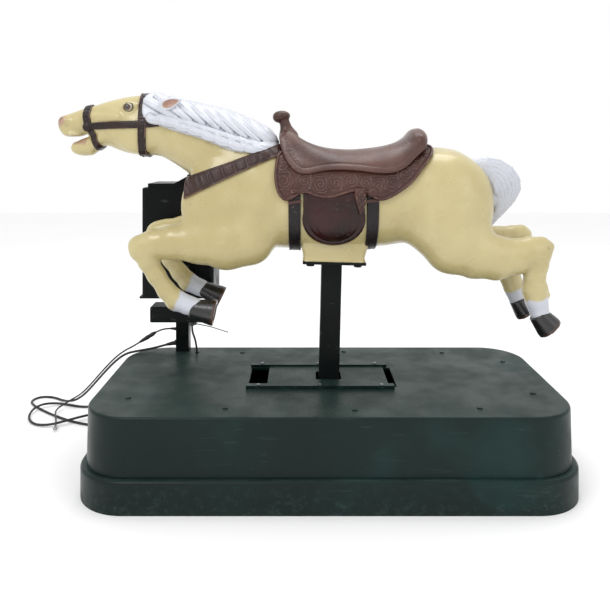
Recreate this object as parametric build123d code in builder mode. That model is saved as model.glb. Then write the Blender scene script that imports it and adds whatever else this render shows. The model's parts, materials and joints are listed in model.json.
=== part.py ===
"""Coin-operated galloping horse ride: a base with a rocking drive, a horse on a post and a coin unit.

Millimetres, +Z up. +X points to the horse's tail, -X to its head. The origin is on the floor,
under the centre of the base. The horse stands in its resting lean, a little towards the tail.
"""

import os
from math import cos, pi, radians, sin, tan

from build123d import *

os.makedirs("parts", exist_ok=True)

# ---------------------------------------------------------------- driving dimensions
PLINTH_LENGTH = 1218
PLINTH_WIDTH = 580
PLINTH_HEIGHT = 78
PLINTH_CORNER = 130
BODY_LENGTH = 1190
BODY_WIDTH = 552
BODY_CORNER = 118
BODY_DRAFT = 1.3
DECK_Z = 217
SHELL_WALL = 6
PAN_THICKNESS = 3

PIVOT_X = 2.0
PIVOT_Z = 75.0
LEAN = 1.43
SHAFT_RADIUS = 12.5
POST_SIZE = 55
POST_WALL = 3
FLANGE_Z = 535.0
FLANGE_LENGTH = 167
FLANGE_WIDTH = 150
FLANGE_THICKNESS = 6
FLANGE_BOLTS = (126, 96)

SLOT_X = (-208, 181)
SLOT_HALF_WIDTH = 74
RAIL_Y = (79, 92)
RAIL_TOP = DECK_Z + 9
PLATE_X = (-158, 160)
PLATE_HALF_WIDTH = 78

CRANK_X = 330
CRANK_Z = 165
CRANK_RADIUS = 12.6
ROD_Y = (-48, -34)
ROD_PIN_RADIUS = 8
RUNNING_CLEARANCE = 0.05
WORM_Z = 117
GEAR_Y = -108
PULLEY_X = (402, 420)
INPUT_PULLEY_RADIUS = 55
MOTOR_PULLEY_RADIUS = 25
MOTOR_Y = 80
MOTOR_Z = 105

CHASSIS_TUBE = 40
CHASSIS_RAIL_Y = 215
CHASSIS_HALF_LENGTH = 520
CROSS_MEMBERS_X = (-440, -52, 56, 210, 430)
MOUNT_PLATE_X = (196, 444)
MOUNT_PLATE_Y = (-160, 150)
MOUNT_PLATE_THICKNESS = 5
GEARBOX_X = (CRANK_X - 51, CRANK_X + 51)
GEARBOX_Y = (GEAR_Y - 42, GEAR_Y + 42)
GEARBOX_Z = (90, 207)
BEARING_Y = 60

COIN_POST_X = -436
COIN_POST_Y = 247
COIN_POST_SIZE = 40
BOX_X = (-540, -328)
BOX_Y = (140, 290)
BOX_Z = (404, 725)
BOX_WALL = 3
HEAD_SLOPE = 28.6
HEAD_X = (-446, -345)
HEAD_Z = 737

HORSE_WALL = 8
LEG_Y = 74

MAINS_RADIUS = 3.5
LEAD_RADIUS = 2.5

CHASSIS_Z = PAN_THICKNESS
CHASSIS_TOP = CHASSIS_Z + CHASSIS_TUBE
ROCKER = Plane(
    origin=(PIVOT_X, 0, PIVOT_Z),
    x_dir=(cos(radians(LEAN)), 0, -sin(radians(LEAN))),
    z_dir=(sin(radians(LEAN)), 0, cos(radians(LEAN))),
)


# ---------------------------------------------------------------- small shared forms
def box_at(x, y, z, mode=Mode.ADD):
    """A box between a low and a high value on each axis."""
    with Locations((sum(x) / 2, sum(y) / 2, sum(z) / 2)):
        Box(x[1] - x[0], y[1] - y[0], z[1] - z[0], mode=mode)


def rod_x(x, y, z, radius, mode=Mode.ADD):
    """A round bar along X."""
    with Locations(Location((sum(x) / 2, y, z), (0, 90, 0))):
        Cylinder(radius, x[1] - x[0], mode=mode)


def rod_y(x, y, z, radius, mode=Mode.ADD):
    """A round bar along Y."""
    with Locations(Location((x, sum(y) / 2, z), (90, 0, 0))):
        Cylinder(radius, y[1] - y[0], mode=mode)


def rod_z(x, y, z, radius, mode=Mode.ADD):
    """A round bar along Z."""
    with Locations((x, y, sum(z) / 2)):
        Cylinder(radius, z[1] - z[0], mode=mode)


def side_prism(points, y, mode=Mode.ADD):
    """A closed outline of (x, z) points, extruded along Y between two values."""
    with BuildSketch(Plane(origin=(0, y[0], 0), x_dir=(1, 0, 0), z_dir=(0, 1, 0))) as outline:
        with BuildLine():
            Polyline(*[(px, -pz) for px, pz in points], close=True)
        make_face()
    extrude(outline.sketch, amount=y[1] - y[0], mode=mode)


# ---------------------------------------------------------------- base shell and floor pan
with BuildPart() as base_shell:
    with BuildSketch():
        RectangleRounded(PLINTH_LENGTH, PLINTH_WIDTH, PLINTH_CORNER)
    extrude(amount=PLINTH_HEIGHT)
    fillet(base_shell.edges().group_by(Axis.Z)[-1], radius=9)
    with BuildSketch(Plane.XY.offset(PLINTH_HEIGHT - 12)):
        RectangleRounded(BODY_LENGTH, BODY_WIDTH, BODY_CORNER)
    extrude(amount=DECK_Z - PLINTH_HEIGHT + 12, taper=BODY_DRAFT)
    fillet(base_shell.faces().sort_by(Axis.Z)[-1].edges(), radius=7)
    with BuildSketch():
        RectangleRounded(
            PLINTH_LENGTH - 2 * SHELL_WALL,
            PLINTH_WIDTH - 2 * SHELL_WALL,
            PLINTH_CORNER - SHELL_WALL,
        )
    extrude(amount=PLINTH_HEIGHT - SHELL_WALL - 4, mode=Mode.SUBTRACT)
    with BuildSketch():
        RectangleRounded(
            BODY_LENGTH - 2 * SHELL_WALL - 6,
            BODY_WIDTH - 2 * SHELL_WALL - 6,
            BODY_CORNER - SHELL_WALL - 3,
        )
    extrude(amount=DECK_Z - SHELL_WALL, mode=Mode.SUBTRACT)
    box_at(SLOT_X, (-SLOT_HALF_WIDTH, SLOT_HALF_WIDTH), (DECK_Z - 20, DECK_Z + 5), Mode.SUBTRACT)
    half_post = COIN_POST_SIZE / 2 + 0.5
    box_at(
        (COIN_POST_X - half_post, COIN_POST_X + half_post),
        (COIN_POST_Y - half_post, COIN_POST_Y + half_post),
        (DECK_Z - 20, DECK_Z + 5),
        Mode.SUBTRACT,
    )
    rod_z(-388, 212, (DECK_Z - 20, DECK_Z + 5), 7, Mode.SUBTRACT)
base_shell.part.label = "base_shell"
export_step(base_shell.part, "parts/base_shell.step")

ANCHORS = (1040, 400)
with BuildPart() as base_pan:
    with BuildSketch():
        RectangleRounded(
            PLINTH_LENGTH - 2 * SHELL_WALL - 2,
            PLINTH_WIDTH - 2 * SHELL_WALL - 2,
            PLINTH_CORNER - SHELL_WALL - 1,
        )
        with GridLocations(ANCHORS[0], ANCHORS[1], 2, 2):
            Circle(6, mode=Mode.SUBTRACT)
    extrude(amount=PAN_THICKNESS)
base_pan.part.label = "base_pan"
export_step(base_pan.part, "parts/base_pan.step")

# ---------------------------------------------------------------- chassis under the deck
INNER_RAIL_Y = CHASSIS_RAIL_Y - CHASSIS_TUBE / 2
TUBE_WALL = 3
with BuildPart() as chassis_frame:
    for y_mid in (-CHASSIS_RAIL_Y, CHASSIS_RAIL_Y):
        y_span = (y_mid - CHASSIS_TUBE / 2, y_mid + CHASSIS_TUBE / 2)
        y_bore = (y_span[0] + TUBE_WALL, y_span[1] - TUBE_WALL)
        z_bore = (CHASSIS_Z + TUBE_WALL, CHASSIS_TOP - TUBE_WALL)
        box_at((-CHASSIS_HALF_LENGTH, CHASSIS_HALF_LENGTH), y_span, (CHASSIS_Z, CHASSIS_TOP))
        box_at((-CHASSIS_HALF_LENGTH - 1, CHASSIS_HALF_LENGTH + 1), y_bore, z_bore, Mode.SUBTRACT)
    for x_mid in CROSS_MEMBERS_X:
        x_span = (x_mid - CHASSIS_TUBE / 2, x_mid + CHASSIS_TUBE / 2)
        box_at(x_span, (-INNER_RAIL_Y, INNER_RAIL_Y), (CHASSIS_Z, CHASSIS_TOP))
    box_at(MOUNT_PLATE_X, MOUNT_PLATE_Y, (CHASSIS_TOP, CHASSIS_TOP + MOUNT_PLATE_THICKNESS))
    for x_mid in (CRANK_X - 48, CRANK_X + 48):
        x_span = (x_mid - 3, x_mid + 3)
        box_at(x_span, GEARBOX_Y, (CHASSIS_TOP + MOUNT_PLATE_THICKNESS, GEARBOX_Z[0]))
chassis_frame.part.label = "chassis_frame"
export_step(chassis_frame.part, "parts/chassis_frame.step")

BEARING_BOLT_DX = 54
with BuildPart() as pivot_bearings:
    for y_mid in (-BEARING_Y, BEARING_Y):
        box_at((PIVOT_X - 74, PIVOT_X + 74), (y_mid - 15, y_mid + 15), (CHASSIS_TOP, CHASSIS_TOP + 12))
        box_at((PIVOT_X - 26, PIVOT_X + 26), (y_mid - 12, y_mid + 12), (CHASSIS_TOP + 5, PIVOT_Z))
        rod_y(PIVOT_X, (y_mid - 12, y_mid + 12), PIVOT_Z, 26)
        for dx in (-BEARING_BOLT_DX, BEARING_BOLT_DX):
            rod_z(PIVOT_X + dx, y_mid, (CHASSIS_TOP - 1, CHASSIS_TOP + 13), 5.5, Mode.SUBTRACT)
    rod_y(PIVOT_X, (-90, 90), PIVOT_Z, SHAFT_RADIUS + RUNNING_CLEARANCE, Mode.SUBTRACT)
pivot_bearings.part.label = "pivot_bearings"
export_step(pivot_bearings.part, "parts/pivot_bearings.step")

with BuildPart() as bearing_bolts:
    for dx in (-BEARING_BOLT_DX, BEARING_BOLT_DX):
        for y_mid in (-BEARING_Y, BEARING_Y):
            rod_z(PIVOT_X + dx, y_mid, (CHASSIS_TOP, CHASSIS_TOP + 13), 5)
            with BuildSketch(Plane.XY.offset(CHASSIS_TOP + 12)):
                with Locations((PIVOT_X + dx, y_mid)):
                    RegularPolygon(9, 6)
            extrude(amount=7)
bearing_bolts.part.label = "bearing_bolts"
export_step(bearing_bolts.part, "parts/bearing_bolts.step")

# ---------------------------------------------------------------- slot rails and slide plate
RAIL_X = (-212, 173)
RAIL_SCREWS_X = (-180, -20, 140)
with BuildPart() as slot_rails:
    for direction in (-1, 1):
        strip = sorted((direction * RAIL_Y[0], direction * RAIL_Y[1]))
        lip = sorted((direction * (RAIL_Y[0] - 5), direction * RAIL_Y[1]))
        box_at(RAIL_X, strip, (DECK_Z, RAIL_TOP))
        box_at(RAIL_X, lip, (RAIL_TOP - 3, RAIL_TOP))
        for x_mid in RAIL_SCREWS_X:
            rod_z(x_mid, sum(strip) / 2, (DECK_Z - 1, RAIL_TOP + 1), 2.6, Mode.SUBTRACT)
slot_rails.part.label = "slot_rails"
export_step(slot_rails.part, "parts/slot_rails.step")

with BuildPart() as rail_screws:
    for x_mid in RAIL_SCREWS_X:
        for y_mid in (-sum(RAIL_Y) / 2, sum(RAIL_Y) / 2):
            rod_z(x_mid, y_mid, (DECK_Z, RAIL_TOP), 2.4)
            rod_z(x_mid, y_mid, (RAIL_TOP, RAIL_TOP + 2.4), 4.6)
rail_screws.part.label = "rail_screws"
export_step(rail_screws.part, "parts/rail_screws.step")

POST_AT_DECK = PIVOT_X + (DECK_Z - PIVOT_Z) * tan(radians(LEAN))
with BuildPart() as slide_plate:
    box_at(PLATE_X, (-PLATE_HALF_WIDTH, PLATE_HALF_WIDTH), (DECK_Z + 0.5, DECK_Z + 4.5))
    box_at((POST_AT_DECK - 35, POST_AT_DECK + 33), (-31, 31), (DECK_Z - 5, DECK_Z + 10), Mode.SUBTRACT)
    fillet(slide_plate.edges().filter_by(Axis.Z), radius=4)
slide_plate.part.label = "slide_plate"
export_step(slide_plate.part, "parts/slide_plate.step")

DECK_SCREW_SPOTS = [(-500, -150), (-250, -215), (60, -225), (360, -215), (520, -120)]
DECK_SCREW_SPOTS += [(-250, 215), (60, 225), (360, 215), (520, 130)]
with BuildPart() as deck_screws:
    for spot in DECK_SCREW_SPOTS:
        with Locations((spot[0], spot[1], DECK_Z)):
            Cylinder(7, 2.2, align=(Align.CENTER, Align.CENTER, Align.MIN))
            Box(9, 1.4, 1.2, align=(Align.CENTER, Align.CENTER, Align.MIN))
    for spot in DECK_SCREW_SPOTS:
        with Locations((spot[0], spot[1], DECK_Z + 1.4)):
            Box(9, 1.6, 2, align=(Align.CENTER, Align.CENTER, Align.MIN), mode=Mode.SUBTRACT)
deck_screws.part.label = "deck_screws"
export_step(deck_screws.part, "parts/deck_screws.step")

# ---------------------------------------------------------------- rocking post
with BuildPart() as pivot_shaft:
    rod_y(PIVOT_X, (-82, 82), PIVOT_Z, SHAFT_RADIUS)
    chamfer(pivot_shaft.edges(), length=1)
pivot_shaft.part.label = "pivot_shaft"
export_step(pivot_shaft.part, "parts/pivot_shaft.step")

POST_LENGTH = (FLANGE_Z - PIVOT_Z) / cos(radians(LEAN))
ROD_ARM = CRANK_Z - PIVOT_Z
ROD_PIN_X = PIVOT_X + ROD_ARM * tan(radians(LEAN))
PIN_ROOT_Y = -POST_SIZE / 2
with BuildPart() as horse_post:
    with BuildSketch(ROCKER):
        RectangleRounded(POST_SIZE, POST_SIZE, 4)
        RectangleRounded(POST_SIZE - 2 * POST_WALL, POST_SIZE - 2 * POST_WALL, 2, mode=Mode.SUBTRACT)
    extrude(amount=POST_LENGTH)
    rod_y(PIVOT_X, (-44, 44), PIVOT_Z, 24)
    rod_y(PIVOT_X, (-50, 50), PIVOT_Z, SHAFT_RADIUS, Mode.SUBTRACT)
    rod_y(ROD_PIN_X, (PIN_ROOT_Y - 26, PIN_ROOT_Y + 1), CRANK_Z, ROD_PIN_RADIUS)
    rod_y(ROD_PIN_X, (PIN_ROOT_Y - 5, PIN_ROOT_Y + 1), CRANK_Z, 14)
    rod_y(ROD_PIN_X, (PIN_ROOT_Y - 26, PIN_ROOT_Y - 22), CRANK_Z, 11)
horse_post.part.label = "horse_post"
export_step(horse_post.part, "parts/horse_post.step")

TOP = ROCKER.offset(POST_LENGTH)
with BuildPart() as flange_plate:
    with BuildSketch(TOP):
        with Locations((5, 0)):
            RectangleRounded(FLANGE_LENGTH, FLANGE_WIDTH, 6)
            with GridLocations(FLANGE_BOLTS[0], FLANGE_BOLTS[1], 2, 2):
                Circle(6.4, mode=Mode.SUBTRACT)
    extrude(amount=FLANGE_THICKNESS)
flange_plate.part.label = "flange_plate"
export_step(flange_plate.part, "parts/flange_plate.step")

with BuildPart() as flange_bolts:
    with BuildSketch(TOP):
        with Locations((5, 0)):
            with GridLocations(FLANGE_BOLTS[0], FLANGE_BOLTS[1], 2, 2):
                Circle(6)
    extrude(amount=72)
    with BuildSketch(TOP):
        with Locations((5, 0)):
            with GridLocations(FLANGE_BOLTS[0], FLANGE_BOLTS[1], 2, 2):
                RegularPolygon(10.5, 6)
    extrude(amount=-8)
flange_bolts.part.label = "flange_bolts"
export_step(flange_bolts.part, "parts/flange_bolts.step")

# ---------------------------------------------------------------- horse forms
# stations of the trunk: x, height of the centre, half height, half width
TRUNK = [
    (-362, 706, 38, 40),
    (-338, 702, 86, 74),
    (-265, 706, 136, 102),
    (-180, 710, 138, 116),
    (-60, 698, 127, 123),
    (60, 693, 124, 124),
    (180, 704, 124, 124),
    (280, 706, 134, 121),
    (360, 702, 124, 106),
    (412, 694, 88, 78),
    (434, 690, 44, 42),
]
# stations of the neck: x and height of the centre, half depth, half width
NECK = [
    (-215, 772, 116, 92),
    (-290, 822, 104, 84),
    (-365, 860, 86, 68),
    (-435, 890, 72, 55),
    (-480, 905, 62, 48),
]
NECK_DIRECTION = (-0.915, 0, 0.402)
# stations of the head: x, height of the centre, half height, half width
HEAD = [
    (-452, 902, 66, 50),
    (-492, 903, 78, 52),
    (-540, 903, 75, 50),
    (-592, 900, 62, 42),
    (-640, 888, 65, 35),
    (-688, 880, 56, 32),
    (-712, 884, 41, 27),
    (-727, 905, 13, 13),
]


def trunk_form(grow, mode=Mode.ADD):
    """The horse's trunk, grown outwards by a distance."""
    last = len(TRUNK) - 1
    sections = []
    for i, (x, z, half_height, half_width) in enumerate(TRUNK):
        reach = grow * ((i == last) - (i == 0))
        with BuildSketch(Plane(origin=(x + reach, 0, z), x_dir=(0, 1, 0), z_dir=(1, 0, 0))) as section:
            Ellipse(half_width + grow, half_height + grow)
        sections.append(section.sketch)
    loft(sections, mode=mode)


def neck_form(grow, mode=Mode.ADD):
    """The horse's neck, grown outwards by a distance."""
    sections = []
    for x, z, half_depth, half_width in NECK:
        with BuildSketch(Plane(origin=(x, 0, z), x_dir=(0, 1, 0), z_dir=NECK_DIRECTION)) as section:
            Ellipse(half_width + grow, half_depth + grow)
        sections.append(section.sketch)
    loft(sections, mode=mode)


def head_form(grow, mode=Mode.ADD):
    """The horse's head, grown outwards by a distance."""
    sections = []
    for x, z, half_height, half_width in HEAD:
        with BuildSketch(Plane(origin=(x, 0, z), x_dir=(0, 1, 0), z_dir=(-1, 0, 0))) as section:
            Ellipse(half_width + grow, half_height + grow)
        sections.append(section.sketch)
    loft(sections, mode=mode)


def limb(y, stations):
    """A limb in the upright plane at y, round in section, through stations of x, height and radius."""
    points = [Vector(x, y, z) for x, z, radius in stations]
    sections = []
    for i, (x, z, radius) in enumerate(stations):
        before = points[max(i - 1, 0)]
        after = points[min(i + 1, len(points) - 1)]
        with BuildSketch(Plane(origin=points[i], x_dir=(0, 1, 0), z_dir=after - before)) as section:
            Circle(radius)
        sections.append(section.sketch)
    loft(sections)


# each leg: side of the horse, upper limb, lower limb, then the hoof's start, end and radii
LEGS = {
    "near_fore": (
        -LEG_Y,
        [(-215, 590, 62), (-268, 574, 63), (-340, 583, 49), (-425, 592, 39), (-492, 592, 31)],
        [(-502, 606, 24), (-486, 572, 27), (-460, 525, 22), (-426, 470, 22), (-396, 436, 25), (-352, 420, 24)],
        [(-354, 421, 25), (-300, 411, 36)],
    ),
    "far_fore": (
        LEG_Y,
        [(-215, 600, 60), (-268, 588, 60), (-340, 594, 47), (-425, 603, 36), (-486, 606, 30)],
        [(-497, 617, 23), (-482, 586, 26), (-452, 540, 22), (-415, 490, 22), (-386, 458, 24), (-348, 441, 23)],
        [(-350, 442, 24), (-301, 418, 35)],
    ),
    "near_hind": (
        -LEG_Y + 6,
        [(270, 640, 78), (330, 592, 79), (415, 560, 62), (485, 554, 49), (540, 570, 36), (572, 586, 24)],
        [(562, 598, 22), (556, 560, 28), (544, 505, 26), (542, 468, 28), (546, 436, 26), (552, 402, 24)],
        [(552, 404, 25), (580, 373, 31)],
    ),
    "far_hind": (
        LEG_Y - 6,
        [(270, 650, 76), (330, 606, 77), (415, 572, 60), (485, 568, 47), (530, 582, 35), (562, 600, 23)],
        [(550, 612, 22), (544, 575, 27), (528, 520, 25), (522, 480, 26), (528, 446, 25), (540, 408, 23)],
        [(539, 410, 24), (562, 376, 30)],
    ),
}
EYE = (-527, 45, 949)
EYE_RADIUS = 11
# stations of an ear, from its root in the neck to its tip: x, distance from the middle, height, half sizes
EAR = [(-458, 30, 930, 9, 6), (-446, 50, 946, 10, 6), (-425, 58, 958, 14, 7), (-405, 61, 967, 10, 5), (-386, 62, 975, 3, 2)]


def ear_form(side, grow, mode=Mode.ADD):
    """A laid-back ear on one side of the head, grown outwards by a distance."""
    sections = []
    for x, out, z, half_width, half_thickness in EAR:
        place = Plane(origin=(x, side * out, z), x_dir=(0, 1, 0), z_dir=(0.9, 0, 0.436))
        with BuildSketch(place) as section:
            Ellipse(half_thickness + grow, half_width + grow)
        sections.append(section.sketch)
    loft(sections, mode=mode)


with BuildPart() as horse_shell:
    trunk_form(0)
    neck_form(0)
    head_form(0)
    for leg_y, upper, lower, hoof in LEGS.values():
        limb(leg_y, upper)
        limb(leg_y, lower)
    ear_form(-1, 0)
    ear_form(1, 0)
    trunk_form(-HORSE_WALL, Mode.SUBTRACT)
    side_prism([(-654, 880), (-745, 872), (-745, 842), (-700, 852)], (-60, 60), Mode.SUBTRACT)
    for side in (-1, 1):
        with Locations((EYE[0], side * EYE[1], EYE[2])):
            Sphere(EYE_RADIUS + 0.1, mode=Mode.SUBTRACT)
    with BuildSketch(TOP):
        with Locations((5, 0)):
            with GridLocations(FLANGE_BOLTS[0], FLANGE_BOLTS[1], 2, 2):
                Circle(6.6)
    extrude(amount=80, mode=Mode.SUBTRACT)
horse_shell.part.label = "horse_shell"
export_step(horse_shell.part, "parts/horse_shell.step")
print("horse shell solids", len(horse_shell.solids()), "volume", round(horse_shell.part.volume / 1000), "cm3")

SHOE_THICKNESS = 7
SHOE_WIDTH = 11
with BuildPart() as hooves:
    for leg_y, upper, lower, hoof in LEGS.values():
        (x0, z0, r0), (x1, z1, r1) = hoof
        limb(leg_y, [(x0, z0, r0), ((x0 + x1) / 2, (z0 + z1) / 2, (r0 + r1) / 2 + 1), (x1, z1, r1)])
        sole = Plane(origin=(x1, leg_y, z1), x_dir=(0, 1, 0), z_dir=(x1 - x0, 0, z1 - z0))
        with BuildSketch(sole):
            Circle(r1)
            Circle(r1 - SHOE_WIDTH, mode=Mode.SUBTRACT)
        extrude(amount=SHOE_THICKNESS)
    add(horse_shell.part, mode=Mode.SUBTRACT)
hooves.part.label = "hooves"
export_step(hooves.part, "parts/hooves.step")

# ---------------------------------------------------------------- mane, tail, ears and eyes
MANE_GROW = 16
MANE_OUTLINE = [
    (-486, 985), (-443, 1000), (-365, 1005), (-308, 990), (-235, 968), (-182, 946), (-140, 905), (-128, 860),
    (-160, 836), (-195, 825), (-250, 828), (-318, 862), (-386, 882), (-441, 902), (-484, 925),
]
with BuildPart() as mane:
    neck_form(MANE_GROW)
    side_prism(MANE_OUTLINE, (-140, 140), Mode.INTERSECT)
    neck_form(0.2, Mode.SUBTRACT)
    trunk_form(0.3, Mode.SUBTRACT)
    head_form(0.4, Mode.SUBTRACT)
    ear_form(-1, 0.3, Mode.SUBTRACT)
    ear_form(1, 0.3, Mode.SUBTRACT)
mane.part.label = "mane"
export_step(mane.part, "parts/mane.step")

# stations of the tail, from its tip up to the dock: height, x of the centre, half length, half width
TAIL = [
    (632, 448, 5, 6),
    (662, 456, 21, 18),
    (700, 468, 34, 26),
    (735, 474, 47, 30),
    (765, 466, 54, 30),
    (790, 440, 50, 26),
    (806, 426, 24, 16),
]
with BuildPart() as tail:
    sections = []
    for z, x, half_length, half_width in TAIL:
        with BuildSketch(Plane.XY.offset(z), mode=Mode.PRIVATE) as section:
            with Locations((x, 0)):
                Ellipse(half_length, half_width)
        sections.append(section.sketch)
    loft(sections)
    trunk_form(0.3, Mode.SUBTRACT)
tail.part.label = "tail"
export_step(tail.part, "parts/tail.step")

with BuildPart() as glass_eyes:
    for side in (-1, 1):
        with Locations((EYE[0], side * EYE[1], EYE[2])):
            Sphere(EYE_RADIUS)
glass_eyes.part.label = "glass_eyes"
export_step(glass_eyes.part, "parts/glass_eyes.step")

# ---------------------------------------------------------------- saddle, made in layers over the trunk
SKIRT_OUTLINE = [
    (-134, 800), (-136, 765), (-129, 732), (-101, 704), (-59, 732), (-31, 716), (7, 713),
    (49, 727), (82, 732), (129, 706), (152, 713), (208, 746), (241, 793), (243, 800),
]
SEAT_SIDE_OUTLINE = [
    (-126, 900), (-124, 840), (-104, 800), (-70, 774), (-7, 783), (63, 783), (152, 774),
    (190, 788), (227, 825), (262, 840), (262, 900),
]
SEAT_TOP_OUTLINE = [
    (-131, 838), (-127, 872), (-110, 886), (-78, 883), (-28, 853), (22, 830), (63, 821), (108, 828),
    (149, 837), (189, 850), (220, 880), (240, 888), (260, 872), (277, 838), (240, 790), (0, 770), (-110, 790),
]
FENDER_CENTRE = (14, 655)
FENDER_RADIUS = 78
with BuildPart() as saddle_seat:
    trunk_form(14)
    side_prism(SEAT_SIDE_OUTLINE, (-160, 160), Mode.INTERSECT)
    side_prism(SEAT_TOP_OUTLINE, (-78, 78))
    trunk_form(0.3, Mode.SUBTRACT)
    neck_form(0.3, Mode.SUBTRACT)
saddle_seat.part.label = "saddle_seat"
export_step(saddle_seat.part, "parts/saddle_seat.step")

with BuildPart() as saddle_horn:
    with BuildSketch(Plane(origin=(-109, 0, 881), x_dir=(0, 1, 0), z_dir=(-0.22, 0, 0.976))):
        Circle(13)
    with BuildSketch(Plane(origin=(-119, 0, 925), x_dir=(0, 1, 0), z_dir=(-0.22, 0, 0.976))):
        Circle(10)
    loft()
    with Locations(Location((-121, 0, 926), (0, -13, 0))):
        Cylinder(23, 17)
    fillet(saddle_horn.edges().filter_by(GeomType.CIRCLE).group_by(SortBy.RADIUS)[-1], radius=6)
    add(saddle_seat.part, mode=Mode.SUBTRACT)
saddle_horn.part.label = "saddle_horn"
export_step(saddle_horn.part, "parts/saddle_horn.step")

with BuildPart() as saddle_skirts:
    trunk_form(8)
    side_prism(SKIRT_OUTLINE, (-160, 160), Mode.INTERSECT)
    side_prism(SEAT_SIDE_OUTLINE, (-170, 170), Mode.SUBTRACT)
    trunk_form(0.4, Mode.SUBTRACT)
saddle_skirts.part.label = "saddle_skirts"
export_step(saddle_skirts.part, "parts/saddle_skirts.step")

with BuildPart() as saddle_fenders:
    trunk_form(17)
    with BuildSketch(Plane(origin=(0, -160, 0), x_dir=(1, 0, 0), z_dir=(0, 1, 0))):
        with Locations((FENDER_CENTRE[0], -FENDER_CENTRE[1])):
            Circle(FENDER_RADIUS)
        with Locations((FENDER_CENTRE[0], -FENDER_CENTRE[1] - 50)):
            Rectangle(2 * FENDER_RADIUS - 12, 100)
    extrude(amount=320, mode=Mode.INTERSECT)
    side_prism(SEAT_SIDE_OUTLINE, (-180, 180), Mode.SUBTRACT)
    trunk_form(8.2, Mode.SUBTRACT)
saddle_fenders.part.label = "saddle_fenders"
export_step(saddle_fenders.part, "parts/saddle_fenders.step")

# ---------------------------------------------------------------- straps
GIRTHS_X = ((-101, -70), (98, 128))
with BuildPart() as girth_straps:
    trunk_form(6)
    with BuildSketch(Plane.XY.offset(540)):
        for x_span in GIRTHS_X:
            with Locations((sum(x_span) / 2, 0)):
                Rectangle(x_span[1] - x_span[0], 320)
    extrude(amount=200, mode=Mode.INTERSECT)
    side_prism(SKIRT_OUTLINE, (-170, 170), Mode.SUBTRACT)
    trunk_form(0.4, Mode.SUBTRACT)
girth_straps.part.label = "girth_straps"
export_step(girth_straps.part, "parts/girth_straps.step")

COLLAR_OUTLINE = [(-124, 856), (-250, 803), (-372, 762), (-372, 712), (-250, 762), (-124, 822)]
with BuildPart() as breast_collar:
    trunk_form(6)
    neck_form(6)
    side_prism(COLLAR_OUTLINE, (-140, 140), Mode.INTERSECT)
    trunk_form(0.4, Mode.SUBTRACT)
    neck_form(0.4, Mode.SUBTRACT)
    add(mane.part, mode=Mode.SUBTRACT)
    add(saddle_seat.part, mode=Mode.SUBTRACT)
breast_collar.part.label = "breast_collar"
export_step(breast_collar.part, "parts/breast_collar.step")

NOSEBAND = [(-658, 970), (-638, 970), (-634, 800), (-652, 800)]
CHEEK_STRAP = [(-650, 906), (-436, 914), (-436, 896), (-650, 887)]
BROW_STRAP = [(-503, 1000), (-486, 1000), (-480, 800), (-497, 800)]
with BuildPart() as bridle:
    head_form(5)
    with BuildSketch(Plane(origin=(0, -80, 0), x_dir=(1, 0, 0), z_dir=(0, 1, 0))):
        for strap in (NOSEBAND, CHEEK_STRAP, BROW_STRAP):
            with BuildLine():
                Polyline(*[(px, -pz) for px, pz in strap], close=True)
            make_face()
    extrude(amount=160, mode=Mode.INTERSECT)
    head_form(0.4, Mode.SUBTRACT)
    neck_form(0.4, Mode.SUBTRACT)
    add(mane.part, mode=Mode.SUBTRACT)
    side_prism([(-660, 884), (-745, 874), (-745, 842), (-655, 848)], (-60, 60), Mode.SUBTRACT)
bridle.part.label = "bridle"
export_step(bridle.part, "parts/bridle.step")

# ---------------------------------------------------------------- belly pad and backing plate
PAD_BOTTOM = TOP.offset(FLANGE_THICKNESS)
with BuildPart() as belly_pad:
    with BuildSketch(PAD_BOTTOM):
        with Locations((5, 0)):
            RectangleRounded(FLANGE_LENGTH + 2, FLANGE_WIDTH - 4, 8)
    extrude(amount=58, taper=-6)
    with BuildSketch(PAD_BOTTOM):
        with Locations((5, 0)):
            with GridLocations(FLANGE_BOLTS[0], FLANGE_BOLTS[1], 2, 2):
                Circle(6.4)
    extrude(amount=58, mode=Mode.SUBTRACT)
    trunk_form(0.4, Mode.SUBTRACT)
    add([saddle_fenders.part, girth_straps.part], mode=Mode.SUBTRACT)
belly_pad.part.label = "belly_pad"
export_step(belly_pad.part, "parts/belly_pad.step")

with BuildPart() as backing_plate:
    with BuildSketch(TOP.offset(64)):
        with Locations((5, 0)):
            RectangleRounded(FLANGE_BOLTS[0] + 26, 112, 6)
            with GridLocations(FLANGE_BOLTS[0], FLANGE_BOLTS[1], 2, 2):
                Circle(6.4, mode=Mode.SUBTRACT)
    extrude(amount=6)
backing_plate.part.label = "backing_plate"
export_step(backing_plate.part, "parts/backing_plate.step")

# ---------------------------------------------------------------- connecting rod and crank
ROD_PIN_CRANK_X = CRANK_X - CRANK_RADIUS
with BuildPart() as connecting_rod:
    rod_y(ROD_PIN_X, ROD_Y, CRANK_Z, 16)
    rod_y(ROD_PIN_CRANK_X, ROD_Y, CRANK_Z, 16)
    box_at((ROD_PIN_X, ROD_PIN_CRANK_X), (ROD_Y[0] + 2, ROD_Y[1] - 2), (CRANK_Z - 10, CRANK_Z + 10))
    rod_y(ROD_PIN_X, (-60, -20), CRANK_Z, ROD_PIN_RADIUS + RUNNING_CLEARANCE, Mode.SUBTRACT)
    rod_y(ROD_PIN_CRANK_X, (-60, -20), CRANK_Z, ROD_PIN_RADIUS, Mode.SUBTRACT)
connecting_rod.part.label = "connecting_rod"
export_step(connecting_rod.part, "parts/connecting_rod.step")

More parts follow.
